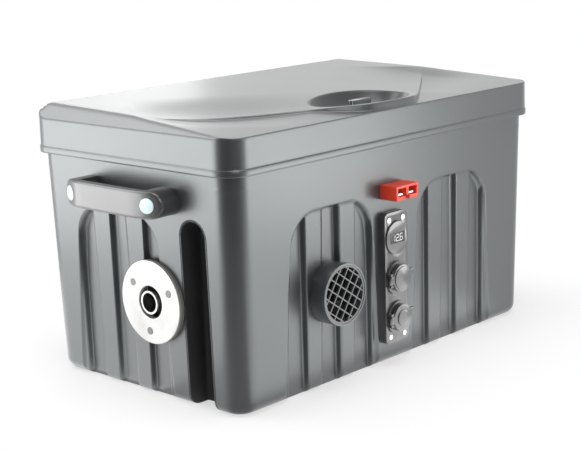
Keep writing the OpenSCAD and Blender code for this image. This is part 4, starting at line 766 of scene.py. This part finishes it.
def finish(name, colour, rough, metal=0.0, pebble=900.0, wave=9.0, bump=0.1, vary=0.08, coat=0.0,
           coat_rough=0.15, specular=0.5, tint=(1, 1, 1)):
    """A surface whose colour and roughness drift with the grain group's tone, with its grain as a
    small bump. The plain numbers sit on the shader's own sockets."""
    mat = bpy.data.materials.new(name)
    mat.use_nodes = True
    tree = mat.node_tree
    shader = tree.nodes["Principled BSDF"]
    place = tree.nodes.new("ShaderNodeTexCoord")
    grain = tree.nodes.new("ShaderNodeGroup")
    grain.node_tree = GRAIN
    grain.inputs["Pebble"].default_value = pebble
    grain.inputs["Wave"].default_value = wave
    tree.links.new(place.outputs["Object"], grain.inputs["Vector"])
    ramp = tree.nodes.new("ShaderNodeValToRGB")
    dark = [c * (1 - vary) for c in colour]
    light = [min(1.0, c * (1 + vary) + vary * 0.004) for c in colour]
    for stop, tone, shade in zip(ramp.color_ramp.elements, TONES, (dark, light)):
        stop.position = tone
        stop.color = (*shade, 1)
    tree.links.new(grain.outputs["Tone"], ramp.inputs["Fac"])
    tree.links.new(ramp.outputs["Color"], shader.inputs["Base Color"])
    drift = math_node(tree, "MULTIPLY", grain.outputs["Tone"], ROUGH_DRIFT * 2)
    tree.links.new(math_node(tree, "ADD", drift, rough - ROUGH_DRIFT), shader.inputs["Roughness"])
    shader.inputs["Metallic"].default_value = metal
    shader.inputs["Coat Weight"].default_value = coat
    shader.inputs["Coat Roughness"].default_value = coat_rough
    shader.inputs["Specular IOR Level"].default_value = specular
    shader.inputs["Specular Tint"].default_value = (*tint, 1)
    if bump:
        relief = tree.nodes.new("ShaderNodeBump")
        relief.inputs["Strength"].default_value = bump
        relief.inputs["Distance"].default_value = GRAIN_DEPTH
        tree.links.new(grain.outputs["Height"], relief.inputs["Height"])
        tree.links.new(relief.outputs["Normal"], shader.inputs["Normal"])
    finishes[name] = mat


moulding = dict(bump=0.12, specular=1.0, coat=0.5, coat_rough=0.28, tint=COOL)
finish("case_plastic", BLACK, 0.38, wave=7, **moulding)
finish("lid_plastic", BLACK, 0.38, wave=6, **moulding)
# Painted shade: the slots' lining is the case's own plastic, made a little darker and much duller and less
# shiny, so that the slots look deep and dark
finish("slot_painted_shade_plastic", (0.028, 0.028, 0.03), 0.6, bump=0.2, specular=0.3)
# Painted shade: the lock recess is the lid's own plastic, made darker and less shiny than the lid so that
# the hollow looks shaded
finish("recess_painted_shade_plastic", (0.022, 0.023, 0.024), 0.42, bump=0.12, specular=0.6, coat=0.1, tint=COOL)
finish("handle_plastic", (0.045, 0.046, 0.048), 0.33, bump=0.12, specular=0.9, coat=0.3)
finish("cap_plastic", (0.66, 0.80, 0.84), 0.3, bump=0.05, vary=0.04)
finish("seal_rubber", (0.02, 0.02, 0.02), 0.62, bump=0.2)
finish("zinc_steel", (0.55, 0.55, 0.53), 0.34, metal=1.0, wave=60, vary=0.12)
finish("bright_steel", (0.66, 0.66, 0.65), 0.24, metal=1.0, wave=60, vary=0.1)
finish("screw_steel", (0.16, 0.16, 0.15), 0.3, metal=1.0, wave=60, vary=0.1)
finish("flange_metal", (0.47, 0.47, 0.46), 0.40, metal=0.6, wave=30, vary=0.16)
finish("gasket_fibre", (0.16, 0.15, 0.14), 0.8, pebble=500, bump=0.4)
finish("grille_metal", (0.055, 0.055, 0.057), 0.32, bump=0.08, specular=0.9, coat=0.3)
finish("fitting_plastic", (0.026, 0.026, 0.028), 0.30, bump=0.1, specular=1.0, coat=0.6)
finish("display_lens", (0.012, 0.006, 0.006), 0.12, bump=0.0, coat=0.6)
finish("digit_grey", (0.70, 0.71, 0.69), 0.5, bump=0.0, vary=0.03)
finish("connector_red", (0.62, 0.045, 0.02), 0.34, bump=0.12, vary=0.05)
finish("contact_metal", (0.72, 0.70, 0.66), 0.25, metal=1.0)
finish("heater_plastic", (0.02, 0.02, 0.021), 0.45, pebble=600, bump=0.25)
finish("cast_aluminium", (0.50, 0.51, 0.52), 0.5, metal=1.0, pebble=500, bump=0.5)
finish("burner_steel", (0.32, 0.27, 0.22), 0.42, metal=1.0, wave=30, vary=0.35)
finish("motor_steel", (0.06, 0.06, 0.065), 0.35, bump=0.1)
finish("board_green", (0.01, 0.09, 0.03), 0.3, wave=80, vary=0.2)
finish("sheet_metal", (0.32, 0.33, 0.34), 0.42, bump=0.15)
finish("tank_plastic", (0.66, 0.63, 0.52), 0.42, bump=0.15)
finish("tank_cap_plastic", (0.42, 0.02, 0.012), 0.35, bump=0.1)
finish("filter_plastic", (0.68, 0.69, 0.66), 0.2, bump=0.05)
finish("hose_rubber", (0.018, 0.018, 0.018), 0.5, bump=0.2)
finish("battery_plastic", (0.015, 0.03, 0.09), 0.35, bump=0.15)
finish("strap_fabric", (0.02, 0.02, 0.02), 0.85, pebble=350, bump=0.8)
finish("cable_rubber", (0.36, 0.015, 0.012), 0.45, bump=0.15)

# A part of the source shows its own slot's finish, but for these
other_finish = {"flange_screws": "screw_steel", "upper_socket_cap": "fitting_plastic",
                "lower_socket_cap": "fitting_plastic"}
dressed = [(obj, other_finish.get(name, slot_of[name]))
           for name, obj in [*nodes.items(), *rounded.items()]]
# The slot linings and the lock cup wear darker, duller copies of the plastic that paint shade into them
dressed += [(case, "case_plastic"), (linings[0], "slot_painted_shade_plastic"), (linings[1], "slot_painted_shade_plastic"),
            (lid, "lid_plastic"), (lid_ceiling, "lid_plastic"), (cup, "recess_painted_shade_plastic"),
            (digits, "digit_grey"), (handles[0], "handle_plastic"), (handles[1], "handle_plastic"),
            (flange, "flange_metal")]
for obj, worn in dressed:
    obj.data.materials.clear()
    obj.data.materials.append(finishes[worn])


# Floor, world, lamps and camera, in metres

# Strength of the even light from all round
SOFT_SKY = 0.38
# The studio's unlit side on the plan, and how closely a direction has to point there
UNLIT, UNLIT_FROM, UNLIT_FULL = (-0.727, -0.686, 0.0), 0.35, 0.8
# The object's footprint as half sizes, with a height that never counts, and how far to the left
# and front its near corner lies
FOOTPRINT, NEAR_CORNER = (0.245, 0.145, 1.0), (0.225, 0.125, 0.0)
# How much of the floor's own white shows at the footprint, and how far away it is all white
NEAR_WHITE, WHITE_FROM = 0.58, 0.2
# How much darker reflections see the unlit side: the floor near the object, what that gains
# further away and between which distances, and the world
DARK_NEAR, DARK_GAIN, GAIN_FROM, GAIN_TO, DARK_WORLD = 0.44, 0.48, 0.15, 0.6, 0.94


def dark_side_group():
    """How much a direction on the plan points to the studio's unlit side, at the front left."""
    g, gin, gout = new_group("dark_side", [("Vector", "NodeSocketVector", None)],
                             [("Mask", "NodeSocketFloat")])
    flat = vector_node(g, "MULTIPLY", gin.outputs["Vector"], (1.0, 1.0, 0.0))
    along = vector_node(g, "DOT_PRODUCT", vector_node(g, "NORMALIZE", flat), UNLIT)
    g.links.new(smooth_step(g, along, UNLIT_FROM, UNLIT_FULL), gout.inputs["Mask"])
    return g


DARK_SIDE = dark_side_group()


def seen_share(tree):
    """1 where the camera looks straight at a surface or sees it in a reflection or through glass,
    and the Light Path node that tells."""
    path = tree.nodes.new("ShaderNodeLightPath")
    seen = math_node(tree, "MAXIMUM", path.outputs["Is Camera Ray"], path.outputs["Is Glossy Ray"])
    return math_node(tree, "MAXIMUM", seen, path.outputs["Is Transmission Ray"]), path


def backdrop_colour(tree, place, path, fall):
    """White, but darker by the given share on the unlit side where a glossy reflection sees it."""
    mask = tree.nodes.new("ShaderNodeGroup")
    mask.node_tree = DARK_SIDE
    tree.links.new(place, mask.inputs["Vector"])
    share = math_node(tree, "MULTIPLY", mask.outputs["Mask"], path.outputs["Is Glossy Ray"])
    share = math_node(tree, "MULTIPLY", share, fall)
    mix = tree.nodes.new("ShaderNodeMix")
    mix.data_type = "RGBA"
    mix.inputs["A"].default_value = (1, 1, 1, 1)
    mix.inputs["B"].default_value = (0, 0, 0, 1)
    tree.links.new(share, mix.inputs["Factor"])
    return next(socket for socket in mix.outputs if socket.type == "RGBA")


def floor_material():
    """White where the camera or a reflection sees it away from the object, and plain pale paper
    near it, so that the object's shadow shows."""
    mat = bpy.data.materials.new("floor_paper")
    mat.use_nodes = True
    tree = mat.node_tree
    shader = tree.nodes["Principled BSDF"]
    shader.inputs["Base Color"].default_value = (0.86, 0.86, 0.86, 1)
    shader.inputs["Roughness"].default_value = 0.9
    shader.inputs["Specular IOR Level"].default_value = 0.1
    place = tree.nodes.new("ShaderNodeTexCoord").outputs["Object"]
    seen, path = seen_share(tree)
    # Distance from the object's footprint on the plan
    beyond = vector_node(tree, "SUBTRACT", vector_node(tree, "ABSOLUTE", place), FOOTPRINT)
    away = vector_node(tree, "LENGTH", vector_node(tree, "MAXIMUM", beyond, (0.0, 0.0, 0.0)))
    share = math_node(tree, "MULTIPLY", smooth_step(tree, away, 0.0, WHITE_FROM), 1.0 - NEAR_WHITE)
    share = math_node(tree, "ADD", share, NEAR_WHITE)
    share = math_node(tree, "MAXIMUM", share, path.outputs["Is Glossy Ray"])
    glow = tree.nodes.new("ShaderNodeEmission")
    from_corner = vector_node(tree, "ADD", place, NEAR_CORNER)
    fall = math_node(tree, "MULTIPLY", smooth_step(tree, away, GAIN_FROM, GAIN_TO), DARK_GAIN)
    fall = math_node(tree, "ADD", fall, DARK_NEAR)
    tree.links.new(backdrop_colour(tree, from_corner, path, fall), glow.inputs["Color"])
    mix = tree.nodes.new("ShaderNodeMixShader")
    tree.links.new(math_node(tree, "MULTIPLY", seen, share), mix.inputs["Fac"])
    tree.links.new(shader.outputs["BSDF"], mix.inputs[1])
    tree.links.new(glow.outputs["Emission"], mix.inputs[2])
    tree.links.new(mix.outputs["Shader"], tree.nodes["Material Output"].inputs["Surface"])
    return mat


def make_floor():
    """One large flat square just below the case's foot."""
    x, y = np.meshgrid([-6000.0, 0.0, 6000.0], [-6000.0, 0.0, 6000.0])
    floor = mesh_from_grid("floor", xyz(x, y, -0.3))
    floor.data.materials.append(floor_material())


def make_world():
    """Even soft light, with a white background where the camera or a reflection looks past all."""
    world = bpy.data.worlds.new("studio")
    bpy.context.scene.world = world
    world.use_nodes = True
    tree = world.node_tree
    back = tree.nodes["Background"]
    seen, path = seen_share(tree)
    rest = math_node(tree, "MULTIPLY", seen, 1.0 - SOFT_SKY)
    tree.links.new(math_node(tree, "ADD", rest, SOFT_SKY), back.inputs["Strength"])
    place = tree.nodes.new("ShaderNodeTexCoord").outputs["Generated"]
    tree.links.new(backdrop_colour(tree, place, path, DARK_WORLD), back.inputs["Color"])


def lamp(name, place, aim, wide, tall, watts):
    """A soft rectangular lamp at a place, aimed at a point."""
    data = bpy.data.lights.new(name, "AREA")
    data.shape = "RECTANGLE"
    data.size, data.size_y = wide, tall
    data.energy = watts
    obj = bpy.data.objects.new(name, data)
    way = Vector(aim) - Vector(place)
    obj.rotation_euler = way.to_track_quat("-Z", "Y").to_euler()
    obj.location = place
    obj.visible_camera = False
    bpy.context.scene.collection.objects.link(obj)


make_floor()
make_world()
lamp("front_right_panel", (0.32, -0.73, 0.15), (-0.045, -0.39, 0.19), 0.45, 0.30, 2.1)
lamp("front_table_glow", (0.00, -0.42, 0.004), (0.00, -0.42, 1.0), 0.45, 0.50, 0.85)
lamp("back_left_panel", (-0.75, 0.47, 0.17), (-0.32, 0.06, 0.21), 0.70, 0.34, 3.6)
lamp("left_table_glow", (-0.49, 0.23, 0.004), (-0.49, 0.23, 1.0), 0.60, 0.50, 0.9)
lamp("back_top_panel", (-0.75, 1.50, 1.80), (-0.25, 0.0, 0.28), 1.0, 0.9, 12)
lamp("left_upper_panel", (-0.80, 0.50, 0.60), (-0.25, 0.05, 0.28), 0.70, 0.35, 1.7)
lamp("lid_left_glow", (0.59, 1.05, 0.58), (-0.33, 0.08, 0.29), 0.38, 0.35, 0.72)
lamp("lid_right_glow", (1.318, 1.10, 0.72), (0.15, 0.0, 0.29), 1.1, 0.6, 0.62)
lamp("flank_panel", (-0.60, -1.07, 0.71), (-0.10, -0.10, 0.288), 0.40, 0.30, 3.0)
lamp("top_panel", (0.5, 1.3, 1.9), (0.0, 0.0, 0.25), 2.2, 1.4, 6)
lamp("overhead_panel", (-0.1, -0.35, 1.6), (-0.1, -0.1, 0.25), 0.9, 0.9, 12)

# The camera's turn about the object, its height and its roll in degrees, its distance, how far
# the origin lies right of and below the picture's middle, and its lens and sensor in millimetres
CAMERA_TURN, CAMERA_RISE, CAMERA_ROLL, CAMERA_AWAY = -46.67, 12.70, -1.91, 1.6739
ORIGIN_RIGHT, ORIGIN_BELOW = 0.00817, 0.13079
LENS, SENSOR = 88.15, 36.0


def make_camera():
    """The camera, found from the photograph's perspective."""
    az, el, roll = math.radians(CAMERA_TURN), math.radians(CAMERA_RISE), math.radians(CAMERA_ROLL)
    right = Vector((math.cos(az), math.sin(az), 0))
    back = Vector((math.sin(az) * math.cos(el), -math.cos(az) * math.cos(el), math.sin(el)))
    up = back.cross(right)
    place = back * CAMERA_AWAY - right * ORIGIN_RIGHT + up * ORIGIN_BELOW
    tilt_right = right * math.cos(roll) + up * math.sin(roll)
    tilt_up = up * math.cos(roll) - right * math.sin(roll)
    data = bpy.data.cameras.new("camera")
    data.sensor_fit = "HORIZONTAL"
    data.sensor_width = SENSOR
    data.lens = LENS
    obj = bpy.data.objects.new("camera", data)
    camera_axes = Matrix((tilt_right, tilt_up, back)).transposed().to_4x4()
    obj.matrix_world = Matrix.Translation(place) @ camera_axes
    bpy.context.scene.collection.objects.link(obj)
    bpy.context.scene.camera = obj


make_camera()
bpy.context.scene.view_settings.view_transform = "Standard"
